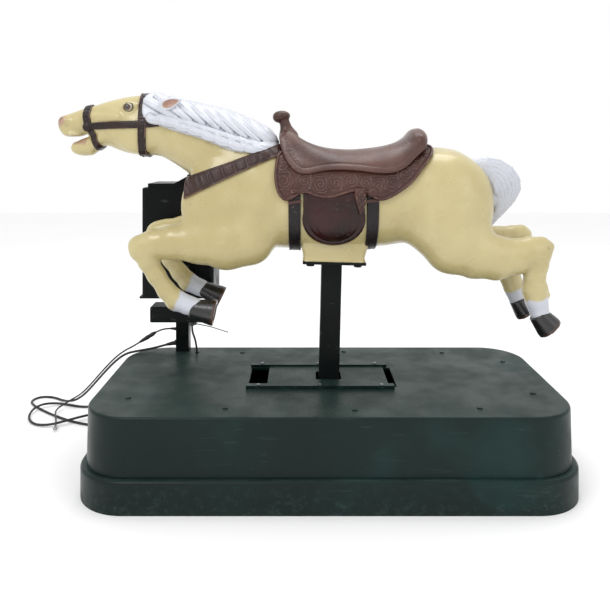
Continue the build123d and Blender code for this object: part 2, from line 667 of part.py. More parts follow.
CRANK_FACE_Y = ROD_Y[0] - 2
with BuildPart() as crank_pin:
    rod_y(ROD_PIN_CRANK_X, (CRANK_FACE_Y + 0.5, ROD_Y[1]), CRANK_Z, ROD_PIN_RADIUS)
    rod_y(ROD_PIN_CRANK_X, (ROD_Y[1], ROD_Y[1] + 4), CRANK_Z, 12)
crank_pin.part.label = "crank_pin"
export_step(crank_pin.part, "parts/crank_pin.step")

with BuildPart() as crank_disc:
    rod_y(CRANK_X, (CRANK_FACE_Y - 12, CRANK_FACE_Y), CRANK_Z, 32)
    rod_y(CRANK_X, (CRANK_FACE_Y - 14, CRANK_FACE_Y + 2), CRANK_Z, 10, Mode.SUBTRACT)
    fillet(crank_disc.edges().filter_by(GeomType.CIRCLE).group_by(SortBy.RADIUS)[-1], radius=2)
crank_disc.part.label = "crank_disc"
export_step(crank_disc.part, "parts/crank_disc.step")

with BuildPart() as output_shaft:
    rod_y(CRANK_X, (GEARBOX_Y[0] - 6, CRANK_FACE_Y), CRANK_Z, 10)
    rod_y(CRANK_X, (GEAR_Y - 9, GEAR_Y + 9), CRANK_Z, 35.5)
output_shaft.part.label = "worm_wheel_shaft"
export_step(output_shaft.part, "parts/worm_wheel_shaft.step")

with BuildPart() as gearbox_housing:
    box_at(GEARBOX_X, GEARBOX_Y, GEARBOX_Z)
    fillet(gearbox_housing.edges().filter_by(Axis.Y), radius=10)
    box_at(
        (GEARBOX_X[0] + 7, GEARBOX_X[1] - 7),
        (GEARBOX_Y[0] + 7, GEARBOX_Y[1] - 7),
        (GEARBOX_Z[0] + 7, GEARBOX_Z[1] - 4),
        Mode.SUBTRACT,
    )
    rod_y(CRANK_X, (GEARBOX_Y[0] - 5, GEARBOX_Y[1] + 5), CRANK_Z, 10 + RUNNING_CLEARANCE, Mode.SUBTRACT)
    rod_x((GEARBOX_X[0] - 5, GEARBOX_X[1] + 5), GEAR_Y, WORM_Z, 8 + RUNNING_CLEARANCE, Mode.SUBTRACT)
gearbox_housing.part.label = "gearbox_housing"
export_step(gearbox_housing.part, "parts/gearbox_housing.step")

with BuildPart() as worm_shaft:
    rod_x((GEARBOX_X[0] - 4, PULLEY_X[1] + 4), GEAR_Y, WORM_Z, 8)
    rod_x((CRANK_X - 28, CRANK_X + 28), GEAR_Y, WORM_Z, 12)
worm_shaft.part.label = "worm_shaft"
export_step(worm_shaft.part, "parts/worm_shaft.step")

PULLEY_MID = sum(PULLEY_X) / 2
BELT_HALF_WIDTH = 5


def grooved_pulley(y, z, radius, bore):
    """A pulley with one groove for the belt, its axis along X."""
    rod_x(PULLEY_X, y, z, radius)
    with BuildSketch(Plane(origin=(0, y, z), x_dir=(1, 0, 0), z_dir=(0, 0, 1))) as groove:
        with Locations((PULLEY_MID, radius)):
            Rectangle(2 * BELT_HALF_WIDTH + 2, 12)
    revolve(groove.sketch, axis=Axis((0, y, z), (1, 0, 0)), mode=Mode.SUBTRACT)
    rod_x((PULLEY_X[0] - 1, PULLEY_X[1] + 1), y, z, bore, Mode.SUBTRACT)


with BuildPart() as gearbox_pulley:
    grooved_pulley(GEAR_Y, WORM_Z, INPUT_PULLEY_RADIUS, 8)
gearbox_pulley.part.label = "gearbox_pulley"
export_step(gearbox_pulley.part, "parts/gearbox_pulley.step")

with BuildPart() as motor_pulley:
    grooved_pulley(MOTOR_Y, MOTOR_Z, MOTOR_PULLEY_RADIUS, 7)
motor_pulley.part.label = "motor_pulley"
export_step(motor_pulley.part, "parts/motor_pulley.step")

GROOVE_DEPTH = 6
BELT_GAP = 0.3
BELT_THICKNESS = 5


def belt_outline(small, large):
    """The outline of a belt round both pulleys, in the plane of the pulleys."""
    spread = Vector(GEAR_Y - MOTOR_Y, WORM_Z - MOTOR_Z)
    distance = spread.length
    along = spread.normalized()
    across = Vector(-along.Y, along.X)
    lift = (large - small) / distance
    flat = (1 - lift * lift) ** 0.5
    start = Vector(MOTOR_Y, MOTOR_Z)
    end = Vector(GEAR_Y, WORM_Z)
    upper = along * -lift + across * flat
    lower = along * -lift - across * flat
    with BuildLine() as line:
        Line(start + upper * small, end + upper * large)
        ThreePointArc(end + upper * large, end + along * large, end + lower * large)
        Line(end + lower * large, start + lower * small)
        ThreePointArc(start + lower * small, start - along * small, start + upper * small)
    return line.line


BELT_INNER_SMALL = MOTOR_PULLEY_RADIUS - GROOVE_DEPTH + BELT_GAP
BELT_INNER_LARGE = INPUT_PULLEY_RADIUS - GROOVE_DEPTH + BELT_GAP
belt_inner = belt_outline(BELT_INNER_SMALL, BELT_INNER_LARGE)
belt_outer = belt_outline(BELT_INNER_SMALL + BELT_THICKNESS, BELT_INNER_LARGE + BELT_THICKNESS)
BELT_PLANE = Plane(origin=(PULLEY_MID - BELT_HALF_WIDTH, 0, 0), x_dir=(0, 1, 0), z_dir=(1, 0, 0))
with BuildPart() as drive_belt:
    with BuildSketch(BELT_PLANE):
        with BuildLine():
            add(belt_outer)
        make_face()
        with BuildLine():
            add(belt_inner)
        make_face(mode=Mode.SUBTRACT)
    extrude(amount=2 * BELT_HALF_WIDTH)
drive_belt.part.label = "drive_belt"
export_step(drive_belt.part, "parts/drive_belt.step")

# ---------------------------------------------------------------- motor, mounts and control box
MOTOR_RADIUS = 55
MOTOR_X = (215, 385)
with BuildPart() as motor_body:
    rod_x(MOTOR_X, MOTOR_Y, MOTOR_Z, MOTOR_RADIUS)
    fillet(motor_body.edges().filter_by(GeomType.CIRCLE), radius=6)
    rod_x((MOTOR_X[0] - 1, MOTOR_X[1] + 1), MOTOR_Y, MOTOR_Z, 7 + RUNNING_CLEARANCE, Mode.SUBTRACT)
    rod_x((MOTOR_X[0] + 12, MOTOR_X[1] - 12), MOTOR_Y, MOTOR_Z, 37, Mode.SUBTRACT)
    box_at((MOTOR_X[0] + 20, MOTOR_X[1] - 20), (MOTOR_Y - 40, MOTOR_Y + 40), (MOTOR_Z - 57, MOTOR_Z - 46))
motor_body.part.label = "motor_body"
export_step(motor_body.part, "parts/motor_body.step")

with BuildPart() as motor_rotor:
    rod_x((MOTOR_X[0] - 6, PULLEY_X[1] + 3), MOTOR_Y, MOTOR_Z, 7)
    rod_x((MOTOR_X[0] + 24, MOTOR_X[1] - 24), MOTOR_Y, MOTOR_Z, 35)
motor_rotor.part.label = "motor_rotor"
export_step(motor_rotor.part, "parts/motor_rotor.step")

CONTROL_X = (-330, -150)
CONTROL_Y = (-232, -120)
CONTROL_Z = (CHASSIS_TOP, 150)
with BuildPart() as control_box:
    box_at(CONTROL_X, CONTROL_Y, CONTROL_Z)
    fillet(control_box.edges().filter_by(Axis.Z), radius=6)
    box_at(
        (CONTROL_X[0] + 3, CONTROL_X[1] - 3),
        (CONTROL_Y[0] + 3, CONTROL_Y[1] - 3),
        (CONTROL_Z[0] + 3, CONTROL_Z[1] - 3),
        Mode.SUBTRACT,
    )
control_box.part.label = "control_box"
export_step(control_box.part, "parts/control_box.step")

BOARD_Z = CONTROL_Z[0] + 3
with BuildPart() as timer_board:
    box_at((-320, -160), (-222, -130), (BOARD_Z, BOARD_Z + 2))
    box_at((-310, -270), (-212, -172), (BOARD_Z + 2, BOARD_Z + 35))
    box_at((-255, -225), (-212, -182), (BOARD_Z + 2, BOARD_Z + 25))
    box_at((-210, -170), (-192, -152), (BOARD_Z + 2, BOARD_Z + 40))
timer_board.part.label = "timer_board"
export_step(timer_board.part, "parts/timer_board.step")

# ---------------------------------------------------------------- coin unit
UNDER_DECK_Z = DECK_Z - SHELL_WALL
FOOT_THICKNESS = 6
BOX_FLANGE = 6
POST_HALF = COIN_POST_SIZE / 2
LEAD_HOLE = (-388, 212)
with BuildPart() as coin_post:
    with BuildSketch(Plane.XY.offset(UNDER_DECK_Z - FOOT_THICKNESS)):
        with Locations((COIN_POST_X, COIN_POST_Y - 20)):
            Rectangle(110, 76)
    extrude(amount=FOOT_THICKNESS)
    with BuildSketch(Plane.XY.offset(UNDER_DECK_Z - FOOT_THICKNESS)):
        with Locations((COIN_POST_X, COIN_POST_Y)):
            RectangleRounded(COIN_POST_SIZE, COIN_POST_SIZE, 3)
    extrude(amount=BOX_Z[0] - BOX_FLANGE - UNDER_DECK_Z + FOOT_THICKNESS)
    with BuildSketch(Plane.XY.offset(UNDER_DECK_Z - FOOT_THICKNESS)):
        with Locations((COIN_POST_X, COIN_POST_Y)):
            RectangleRounded(COIN_POST_SIZE - 6, COIN_POST_SIZE - 6, 1.5)
    extrude(amount=BOX_Z[0] - BOX_FLANGE - UNDER_DECK_Z + FOOT_THICKNESS, mode=Mode.SUBTRACT)
    rod_z(*LEAD_HOLE, (UNDER_DECK_Z - FOOT_THICKNESS - 1, UNDER_DECK_Z + 1), 5, Mode.SUBTRACT)
coin_post.part.label = "coin_post"
export_step(coin_post.part, "parts/coin_post.step")

CUP_Y = (186, 246)
CUP_Z = (440, 496)
CUP_DEPTH = 44
TOP_HOLE_X = (-432, -412)
TOP_HOLE_Y = (195, 235)
HINGE_X = BOX_X[0] - 5
HINGE_Y = BOX_Y[1] + 4
HINGE_RADIUS = 4.5
with BuildPart() as coin_box:
    box_at(BOX_X, BOX_Y, BOX_Z)
    fillet(coin_box.edges().filter_by(Axis.Z), radius=14)
    fillet(coin_box.faces().sort_by(Axis.Z)[-1].edges(), radius=6)
    box_at(
        (BOX_X[0] + BOX_WALL, BOX_X[1] - BOX_WALL),
        (BOX_Y[0] + BOX_WALL, BOX_Y[1] - BOX_WALL),
        (BOX_Z[0] + BOX_WALL, BOX_Z[1] - BOX_WALL),
        Mode.SUBTRACT,
    )
    box_at(
        (BOX_X[0] + 16, BOX_X[1] - 16),
        (BOX_Y[1] - 10, BOX_Y[1] + 5),
        (BOX_Z[0] + 14, BOX_Z[1] - 14),
        Mode.SUBTRACT,
    )
    box_at((BOX_X[0] - 6, BOX_X[1] + 4), (BOX_Y[0] + 4, BOX_Y[1] - 4), (BOX_Z[0] - BOX_FLANGE, BOX_Z[0]))
    box_at((BOX_X[0] + 18, BOX_X[1] - 12), (BOX_Y[0] + 6, BOX_Y[1] - 6), (BOX_Z[1], HEAD_Z))
    box_at(TOP_HOLE_X, TOP_HOLE_Y, (BOX_Z[1] - 10, HEAD_Z + 5), Mode.SUBTRACT)
    box_at((BOX_X[0], BOX_X[0] + CUP_DEPTH + 3), (CUP_Y[0] - 3, CUP_Y[1] + 3), (CUP_Z[0] - 3, CUP_Z[1] + 3))
    box_at((BOX_X[0] - 5, BOX_X[0] + CUP_DEPTH), CUP_Y, CUP_Z, Mode.SUBTRACT)
    for z_span in ((430, 470), (660, 700)):
        rod_z(HINGE_X, HINGE_Y, z_span, HINGE_RADIUS)
        box_at((HINGE_X, HINGE_X + 8), (HINGE_Y - 10, HINGE_Y - 1), z_span)
        box_at((HINGE_X, HINGE_X + 8), (HINGE_Y - 10, HINGE_Y - 4), z_span)
    rod_z(HINGE_X, HINGE_Y, (430, 700), 2)
coin_box.part.label = "coin_box"
export_step(coin_box.part, "parts/coin_box.step")

DOOR_Y = (BOX_Y[1] + 0.6, BOX_Y[1] + 3.6)
LOCK_X = -358
LOCK_Z = 565
with BuildPart() as coin_door:
    box_at((BOX_X[0] + 6, BOX_X[1] - 2), DOOR_Y, (BOX_Z[0] + 4, BOX_Z[1] - 5))
    fillet(coin_door.edges().filter_by(Axis.Y), radius=8)
    for z_span in ((471, 511), (619, 659)):
        rod_z(HINGE_X, HINGE_Y, z_span, HINGE_RADIUS)
        box_at((HINGE_X, BOX_X[0] + 20), (DOOR_Y[0], DOOR_Y[1]), z_span)
    rod_z(HINGE_X, HINGE_Y, (420, 710), 2 + RUNNING_CLEARANCE, Mode.SUBTRACT)
    rod_y(LOCK_X, (DOOR_Y[0] - 1, DOOR_Y[1] + 1), LOCK_Z, 9 + RUNNING_CLEARANCE, Mode.SUBTRACT)
coin_door.part.label = "coin_door"
export_step(coin_door.part, "parts/coin_door.step")

with BuildPart() as door_lock:
    rod_y(LOCK_X, (DOOR_Y[0] - 12, DOOR_Y[1] + 5), LOCK_Z, 9)
    rod_y(LOCK_X, (DOOR_Y[1] + 0.3, DOOR_Y[1] + 5), LOCK_Z, 12)
    box_at((LOCK_X - 6, LOCK_X + 6), (DOOR_Y[0] - 12, DOOR_Y[0] - 9), (LOCK_Z - 32, LOCK_Z))
    box_at((LOCK_X - 5, LOCK_X + 5), (DOOR_Y[1] + 3, DOOR_Y[1] + 6), (LOCK_Z - 0.9, LOCK_Z + 0.9), Mode.SUBTRACT)
door_lock.part.label = "door_lock"
export_step(door_lock.part, "parts/door_lock.step")

with BuildPart() as return_flap:
    box_at((BOX_X[0] + 3, BOX_X[0] + 5), (CUP_Y[0] + 0.6, CUP_Y[1] - 0.6), (CUP_Z[0] + 1, CUP_Z[1] - 5))
    rod_y(BOX_X[0] + 4, (CUP_Y[0] + 0.6, CUP_Y[1] - 0.6), CUP_Z[1] - 4, 2)
return_flap.part.label = "return_flap"
export_step(return_flap.part, "parts/return_flap.step")

HEAD_RISE = (HEAD_X[1] - HEAD_X[0]) * tan(radians(HEAD_SLOPE))
SLOPE_NORMAL = Vector(-sin(radians(HEAD_SLOPE)), 0, cos(radians(HEAD_SLOPE)))


def slope_plane(share, y, lift=0.0):
    """A plane on the coin head's sloped face, at a share of its length from the low edge."""
    foot = Vector(HEAD_X[0] + share * (HEAD_X[1] - HEAD_X[0]), y, HEAD_Z + share * HEAD_RISE)
    return Plane(origin=foot + SLOPE_NORMAL * lift, x_dir=(0, 1, 0), z_dir=SLOPE_NORMAL)


START_SPOT = (0.5, 182)
REJECT_SPOT = (0.3, 245)
SLOT_SPOT = (0.62, 232)
with BuildPart() as coin_head:
    side_prism(
        [(HEAD_X[0], HEAD_Z), (HEAD_X[1], HEAD_Z), (HEAD_X[1], HEAD_Z + HEAD_RISE)], (152, 278)
    )
    side_prism(
        [
            (HEAD_X[0] + 12, HEAD_Z - 1),
            (HEAD_X[1] - 3, HEAD_Z - 1),
            (HEAD_X[1] - 3, HEAD_Z + HEAD_RISE - 7),
        ],
        (155, 275),
        Mode.SUBTRACT,
    )
    with BuildSketch(slope_plane(*SLOT_SPOT)):
        Rectangle(46, 20)
    extrude(amount=2)
    with BuildSketch(slope_plane(*SLOT_SPOT, 4)):
        Rectangle(30, 2.6)
    extrude(amount=-14, mode=Mode.SUBTRACT)
    for spot, radius in ((START_SPOT, 11), (REJECT_SPOT, 6)):
        with BuildSketch(slope_plane(*spot)):
            Circle(radius + 4)
        extrude(amount=3)
        with BuildSketch(slope_plane(*spot, 6)):
            Circle(radius + 0.35)
        extrude(amount=-20, mode=Mode.SUBTRACT)
coin_head.part.label = "coin_head"
export_step(coin_head.part, "parts/coin_head.step")

with BuildPart() as start_button:
    with BuildSketch(slope_plane(*START_SPOT, -8)):
        Circle(11)
    extrude(amount=16)
    fillet(start_button.faces().sort_by(Axis.Z)[-1].edges(), radius=2)
start_button.part.label = "start_button"
export_step(start_button.part, "parts/start_button.step")

with BuildPart() as reject_button:
    with BuildSketch(slope_plane(*REJECT_SPOT, -4)):
        Circle(6)
    extrude(amount=12)
reject_button.part.label = "reject_button"
export_step(reject_button.part, "parts/reject_button.step")

with BuildPart() as coin_mechanism:
    box_at((-452, -392), (170, 255), (590, 715))
    box_at(TOP_HOLE_X, (TOP_HOLE_Y[0] + 4, TOP_HOLE_Y[1] - 4), (700, 720), Mode.SUBTRACT)
    box_at((-440, -404), (180, 245), (600, 660), Mode.SUBTRACT)
coin_mechanism.part.label = "coin_mechanism"
export_step(coin_mechanism.part, "parts/coin_mechanism.step")

with BuildPart() as cash_box:
    box_at((-480, -350), (152, 270), (BOX_Z[0] + BOX_WALL, 520))
    box_at((-477, -353), (155, 267), (BOX_Z[0] + BOX_WALL + 3, 525), Mode.SUBTRACT)
cash_box.part.label = "cash_box"
export_step(cash_box.part, "parts/cash_box.step")

JUNCTION_X = (-520, -352)
JUNCTION_Y = (164, COIN_POST_Y - POST_HALF)
JUNCTION_Z = (322, 369)
GLAND_SPOT = (-401, 200)
with BuildPart() as junction_box:
    box_at(JUNCTION_X, JUNCTION_Y, JUNCTION_Z)
    fillet(junction_box.edges().filter_by(Axis.Y), radius=4)
    box_at(
        (JUNCTION_X[0] + 3, JUNCTION_X[1] - 3),
        (JUNCTION_Y[0] + 3, JUNCTION_Y[1] - 3),
        (JUNCTION_Z[0] + 3, JUNCTION_Z[1] - 3),
        Mode.SUBTRACT,
    )
junction_box.part.label = "junction_box"
export_step(junction_box.part, "parts/junction_box.step")

GLAND_LENGTH = 18
with BuildPart() as cable_gland:
    with BuildSketch(Plane.XY.offset(JUNCTION_Z[0] - 8)):
        with Locations(GLAND_SPOT):
            RegularPolygon(10, 6)
    extrude(amount=8)
    rod_z(*GLAND_SPOT, (JUNCTION_Z[0] - GLAND_LENGTH, JUNCTION_Z[0] - 8), 8)
cable_gland.part.label = "cable_gland"
export_step(cable_gland.part, "parts/cable_gland.step")

INNER_LEAD_ROUTE = [
    (GLAND_SPOT[0], GLAND_SPOT[1], JUNCTION_Z[0] - GLAND_LENGTH),
    (GLAND_SPOT[0] + 1, GLAND_SPOT[1] + 1, 284),
    (GLAND_SPOT[0] + 9, GLAND_SPOT[1] + 7, 258),
    (*LEAD_HOLE, 226),
    (*LEAD_HOLE, 196),
]


# ---------------------------------------------------------------- cords
def cord_radii(route, share=0.45):
    """The largest arc at each corner of a route that leaves both of its runs some straight."""
    radii = []
    points = [Vector(p) for p in route]
    for before, corner, after in zip(points, points[1:], points[2:]):
        arriving = corner - before
        leaving = after - corner
        turn = radians(arriving.get_angle(leaving))
        radii.append(share * min(arriving.length, leaving.length) / tan(turn / 2))
    return radii


def cord_tube(route, radius):
    """A round cord along straight runs joined by tangent arcs. Returns its length too."""
    radii = cord_radii(route)
    with BuildLine() as path:
        FilletPolyline(*route, radius=radii)
    start = Plane(origin=route[0], z_dir=Vector(route[1]) - Vector(route[0]))
    with BuildSketch(start) as section:
        Circle(radius)
    sweep(section.sketch, path=path.line)
    return path.wire().length, min(radii)


def report(name, part, length, tightest, radius):
    """Prints a cord's length, its tightest arc and how its volume compares with section times length."""
    share = part.volume / (pi * radius**2 * length)
    print(name, "length", round(length), "tightest arc", round(tightest, 1), "volume share", round(share, 4))


with BuildPart() as inner_lead:
    lead_length, lead_arc = cord_tube(INNER_LEAD_ROUTE, 3)
inner_lead.part.label = "inner_lead"
export_step(inner_lead.part, "parts/inner_lead.step")
report("inner_lead", inner_lead.part, lead_length, lead_arc, 3)

TIE_Z = JUNCTION_Z[0] - 13
with BuildPart() as cable_tie:
    rod_z(*GLAND_SPOT, (TIE_Z - 2, TIE_Z + 2), 9.5)
    rod_z(*GLAND_SPOT, (TIE_Z - 3, TIE_Z + 3), 8, Mode.SUBTRACT)
    box_at((GLAND_SPOT[0] + 7.5, GLAND_SPOT[0] + 14), (GLAND_SPOT[1] - 4, GLAND_SPOT[1] + 4), (TIE_Z - 3, TIE_Z + 3))
    side_prism(
        [
            (GLAND_SPOT[0] + 13, TIE_Z + 1),
            (GLAND_SPOT[0] + 60, TIE_Z - 9),
            (GLAND_SPOT[0] + 110, TIE_Z - 25),
            (GLAND_SPOT[0] + 110, TIE_Z - 27),
            (GLAND_SPOT[0] + 60, TIE_Z - 11),
            (GLAND_SPOT[0] + 13, TIE_Z - 1),
        ],
        (GLAND_SPOT[1] - 2, GLAND_SPOT[1] + 2),
    )
    rod_z(*GLAND_SPOT, (TIE_Z - 3, TIE_Z + 3), 8, Mode.SUBTRACT)
cable_tie.part.label = "cable_tie"
export_step(cable_tie.part, "parts/cable_tie.step")

FLOOR = MAINS_RADIUS + 0.3
POST_FACE_X = COIN_POST_X - POST_HALF
MAINS_ROUTE = [
    (POST_FACE_X, 242, 240),
    (-490, 241, 233),
    (-526, 232, 225),
    (-562, 212, 224),
    (-600, 196, 221),
    (-640, 212, 190),
    (-688, 246, 138),
    (-732, 282, 88),
    (-772, 316, 46),
    (-812, 348, 18),
    (-856, 384, FLOOR),
    (-906, 420, FLOOR),
    (-952, 422, FLOOR),
    (-968, 384, FLOOR),
    (-940, 344, FLOOR),
    (-896, 306, FLOOR),
    (-848, 268, FLOOR),
    (-796, 234, FLOOR),
    (-742, 206, FLOOR),
    (-694, 192, FLOOR),
    (-660, 216, FLOOR + 2),
    (-668, 254, FLOOR + 5),
    (-704, 262, FLOOR + 8),
    (-742, 238, FLOOR + 9),
    (-780, 206, FLOOR + 9),
    (-826, 186, FLOOR + 4),
    (-876, 196, FLOOR),
    (-912, 232, FLOOR + 2),
    (-924, 282, FLOOR + 8),
    (-912, 330, FLOOR + 9),
    (-878, 358, FLOOR + 4),
    (-828, 352, FLOOR),
    (-782, 334, FLOOR),
    (-742, 338, FLOOR),
    (-700, 366, FLOOR),
    (-648, 392, FLOOR + 1),
    (-590, 404, FLOOR + 2),
    (-534, 402, FLOOR + 3),
    (-458, 403, FLOOR + 4),
]
COIL_CENTRE = (-446, 449)
COIL_MEAN_RADIUS = 39
COIL_SECTION = (22, 15)
COIL_RADII = (COIL_MEAN_RADIUS - COIL_SECTION[0] / 2, COIL_MEAN_RADIUS + COIL_SECTION[0] / 2)
with BuildPart() as mains_cord:
    mains_length, mains_arc = cord_tube(MAINS_ROUTE, MAINS_RADIUS)
mains_cord.part.label = "mains_cord"
export_step(mains_cord.part, "parts/mains_cord.step")
report("mains_cord", mains_cord.part, mains_length, mains_arc, MAINS_RADIUS)

PLUG_X = COIL_CENTRE[0] + 12
PLUG_Y = MAINS_ROUTE[-1][1]
PLUG_Z = 13
with BuildPart() as plug:
    rod_x((PLUG_X, PLUG_X + 34), PLUG_Y, 8, 5)
    box_at((PLUG_X + 30, PLUG_X + 62), (PLUG_Y - 14, PLUG_Y + 14), (0.3, 2 * PLUG_Z))
    fillet(plug.edges().filter_by(Axis.X), radius=5)
    for blade_y in (PLUG_Y - 6.5, PLUG_Y + 6.5):
        box_at((PLUG_X + 60, PLUG_X + 79), (blade_y - 0.8, blade_y + 0.8), (PLUG_Z + 1, PLUG_Z + 7))
    rod_x((PLUG_X + 60, PLUG_X + 82), PLUG_Y, PLUG_Z - 6, 2.4)
plug.part.label = "plug"
export_step(plug.part, "parts/plug.step")

with BuildPart() as cord_coil:
    with Locations((*COIL_CENTRE, 0.3)):
        Cylinder(COIL_RADII[1], COIL_SECTION[1], align=(Align.CENTER, Align.CENTER, Align.MIN))
        Cylinder(
            COIL_RADII[0],
            COIL_SECTION[1],
            align=(Align.CENTER, Align.CENTER, Align.MIN),
            mode=Mode.SUBTRACT,
        )
    fillet(cord_coil.edges(), radius=6)
    add(mains_cord.part, mode=Mode.SUBTRACT)
    add(plug.part, mode=Mode.SUBTRACT)
cord_coil.part.label = "cord_coil"
export_step(cord_coil.part, "parts/cord_coil.step")

LEAD_ROUTE = [
    (POST_FACE_X, 250, 280),
    (-482, 249, 282),
    (-508, 244, 278),
    (-536, 236, 264),
    (-562, 226, 248),
    (-584, 214, 236),
    (-608, 203, 226),
    (-644, 217, 197),
    (-692, 250, 145),
    (-736, 286, 95),
    (-776, 320, 53),
    (-812, 346, 27),
    (-838, 326, 15),
    (-846, 288, 14),
    (-836, 252, 15),
    (-822, 218, 18),
    (-810, 192, 18),
    (-803, 168, 10),
]
with BuildPart() as lead_cord:
    lead_length, lead_arc = cord_tube(LEAD_ROUTE, LEAD_RADIUS)
lead_cord.part.label = "lead_cord"
export_step(lead_cord.part, "parts/lead_cord.step")
report("lead_cord", lead_cord.part, lead_length, lead_arc, LEAD_RADIUS)

CONNECTOR_START = Vector(-520, 240.6, 272)
CONNECTOR_END = Vector(-566, 224.3, 246)
CONNECTOR_RADIUS = 6.5
with BuildPart() as lead_connector:
    with BuildSketch(Plane(origin=CONNECTOR_START, z_dir=CONNECTOR_END - CONNECTOR_START)):
        Circle(CONNECTOR_RADIUS)
    extrude(amount=(CONNECTOR_END - CONNECTOR_START).length)
    add(lead_cord.part, mode=Mode.SUBTRACT)
lead_connector.part.label = "lead_connector"
export_step(lead_connector.part, "parts/lead_connector.step")

LEAD_END = Vector(LEAD_ROUTE[-1])
LEAD_HEADING = (LEAD_END - Vector(LEAD_ROUTE[-2])).normalized()
BARREL_LENGTH = 10
RING_REACH = 17
with BuildPart() as lead_terminal:
    with BuildSketch(Plane(origin=LEAD_END, z_dir=LEAD_HEADING)):
        Circle(3.2)
    extrude(amount=BARREL_LENGTH)
    ring_spot = LEAD_END + LEAD_HEADING * RING_REACH
    across = LEAD_HEADING.cross(Vector(0, 0, 1)).normalized()
    with BuildSketch(Plane(origin=ring_spot, x_dir=across, z_dir=across.cross(LEAD_HEADING))):
        Circle(5.5)
        with Locations((0, -5)):
            Rectangle(5, 9)
        with Locations((0, 5)):
            Rectangle(5, 9)
        Circle(2.7, mode=Mode.SUBTRACT)
    extrude(amount=0.7, both=True)
lead_terminal.part.label = "lead_terminal"
export_step(lead_terminal.part, "parts/lead_terminal.step")
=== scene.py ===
import json
import math

import bpy
import numpy as np
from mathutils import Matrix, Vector


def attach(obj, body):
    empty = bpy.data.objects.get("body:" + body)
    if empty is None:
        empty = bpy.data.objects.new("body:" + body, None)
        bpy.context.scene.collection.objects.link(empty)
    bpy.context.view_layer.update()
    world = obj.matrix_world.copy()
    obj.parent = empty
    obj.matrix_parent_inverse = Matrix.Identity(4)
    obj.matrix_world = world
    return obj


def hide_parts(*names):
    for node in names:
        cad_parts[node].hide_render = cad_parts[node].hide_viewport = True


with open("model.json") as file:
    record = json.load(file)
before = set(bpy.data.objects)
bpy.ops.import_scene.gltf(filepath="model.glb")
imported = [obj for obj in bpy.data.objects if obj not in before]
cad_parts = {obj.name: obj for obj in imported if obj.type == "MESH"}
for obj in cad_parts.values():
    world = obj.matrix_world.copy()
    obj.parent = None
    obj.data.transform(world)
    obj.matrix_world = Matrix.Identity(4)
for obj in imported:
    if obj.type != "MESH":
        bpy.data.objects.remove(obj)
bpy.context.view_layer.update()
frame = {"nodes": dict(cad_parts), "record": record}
ROCKER = "rocker"
MM = 0.001


# ---------------------------------------------------------------- camera
camera = bpy.data.objects.new("camera", bpy.data.cameras.new("camera"))
bpy.context.scene.collection.objects.link(camera)
camera.location = (-0.062, -1.774, 0.833)
camera.rotation_euler = (math.radians(90), 0, 0)
camera.data.lens = 38.4
camera.data.sensor_width = 36
camera.data.shift_x = 0.002
camera.data.shift_y = -0.2525
bpy.context.scene.camera = camera


# ---------------------------------------------------------------- cords
def cord_curve(name, points, radius):
    """A round cord on a smooth line through control points in millimetres."""
    curve = bpy.data.curves.new(name, "CURVE")
    curve.dimensions = "3D"
    line = curve.splines.new("NURBS")
    line.points.add(len(points) - 1)
    for spot, point in zip(line.points, points):
        spot.co = (point[0] * MM, point[1] * MM, point[2] * MM, 1)
    line.order_u = 3
    line.use_endpoint_u = True
    curve.resolution_u = 8
    curve.bevel_depth = radius * MM
    curve.bevel_resolution = 4
    curve.use_fill_caps = True
    piece = bpy.data.objects.new(name, curve)
    bpy.context.scene.collection.objects.link(piece)
    return piece


FLOOR = 3.8
MAINS_RADIUS = 3.5
LEAD_RADIUS = 2.5
MAINS_ROUTE = [
    (-456, 242, 240), (-490, 241, 233), (-526, 232, 225), (-562, 212, 224), (-600, 196, 221),
    (-640, 212, 190), (-688, 246, 138), (-732, 282, 88), (-772, 316, 46), (-812, 348, 18),
    (-856, 384, FLOOR), (-906, 420, FLOOR), (-952, 422, FLOOR), (-968, 384, FLOOR),
    (-940, 344, FLOOR), (-896, 306, FLOOR), (-848, 268, FLOOR), (-796, 234, FLOOR),
    (-742, 206, FLOOR), (-694, 192, FLOOR), (-660, 216, FLOOR + 2), (-668, 254, FLOOR + 5),
    (-704, 262, FLOOR + 9), (-742, 238, FLOOR + 10), (-780, 206, FLOOR + 10), (-826, 186, FLOOR + 4),
    (-876, 196, FLOOR), (-912, 232, FLOOR + 2), (-924, 282, FLOOR + 9), (-912, 330, FLOOR + 10),
    (-878, 358, FLOOR + 4), (-828, 352, FLOOR), (-782, 334, FLOOR), (-742, 338, FLOOR),
    (-700, 366, FLOOR), (-648, 392, FLOOR), (-590, 404, FLOOR), (-534, 402, FLOOR), (-490, 401.5, FLOOR),
]
COIL_CENTRE = (-446, 449)
COIL_OUTER = 46.5
COIL_PITCH = 7.4
COIL_TURNS = 5
COIL_STEPS = 16


def coil_points():
    """Two layers of turns: inwards along the floor, up, and outwards on top."""
    points = []
    for i in range(1, COIL_TURNS * COIL_STEPS + 1):
        turn = i / COIL_STEPS
        inward = min(turn, 2.0) - max(turn - 3.0, 0.0)
        radius = (COIL_OUTER - COIL_PITCH * inward) / 0.985
        climb = min(max((turn - 1.85) / 0.6, 0.0), 1.0)
        angle = 2 * math.pi * turn - math.pi / 2
        points.append(
            (
                COIL_CENTRE[0] + radius * math.cos(angle),
                COIL_CENTRE[1] + radius * math.sin(angle),
                FLOOR + 7.1 * climb,
            )
        )
    return points


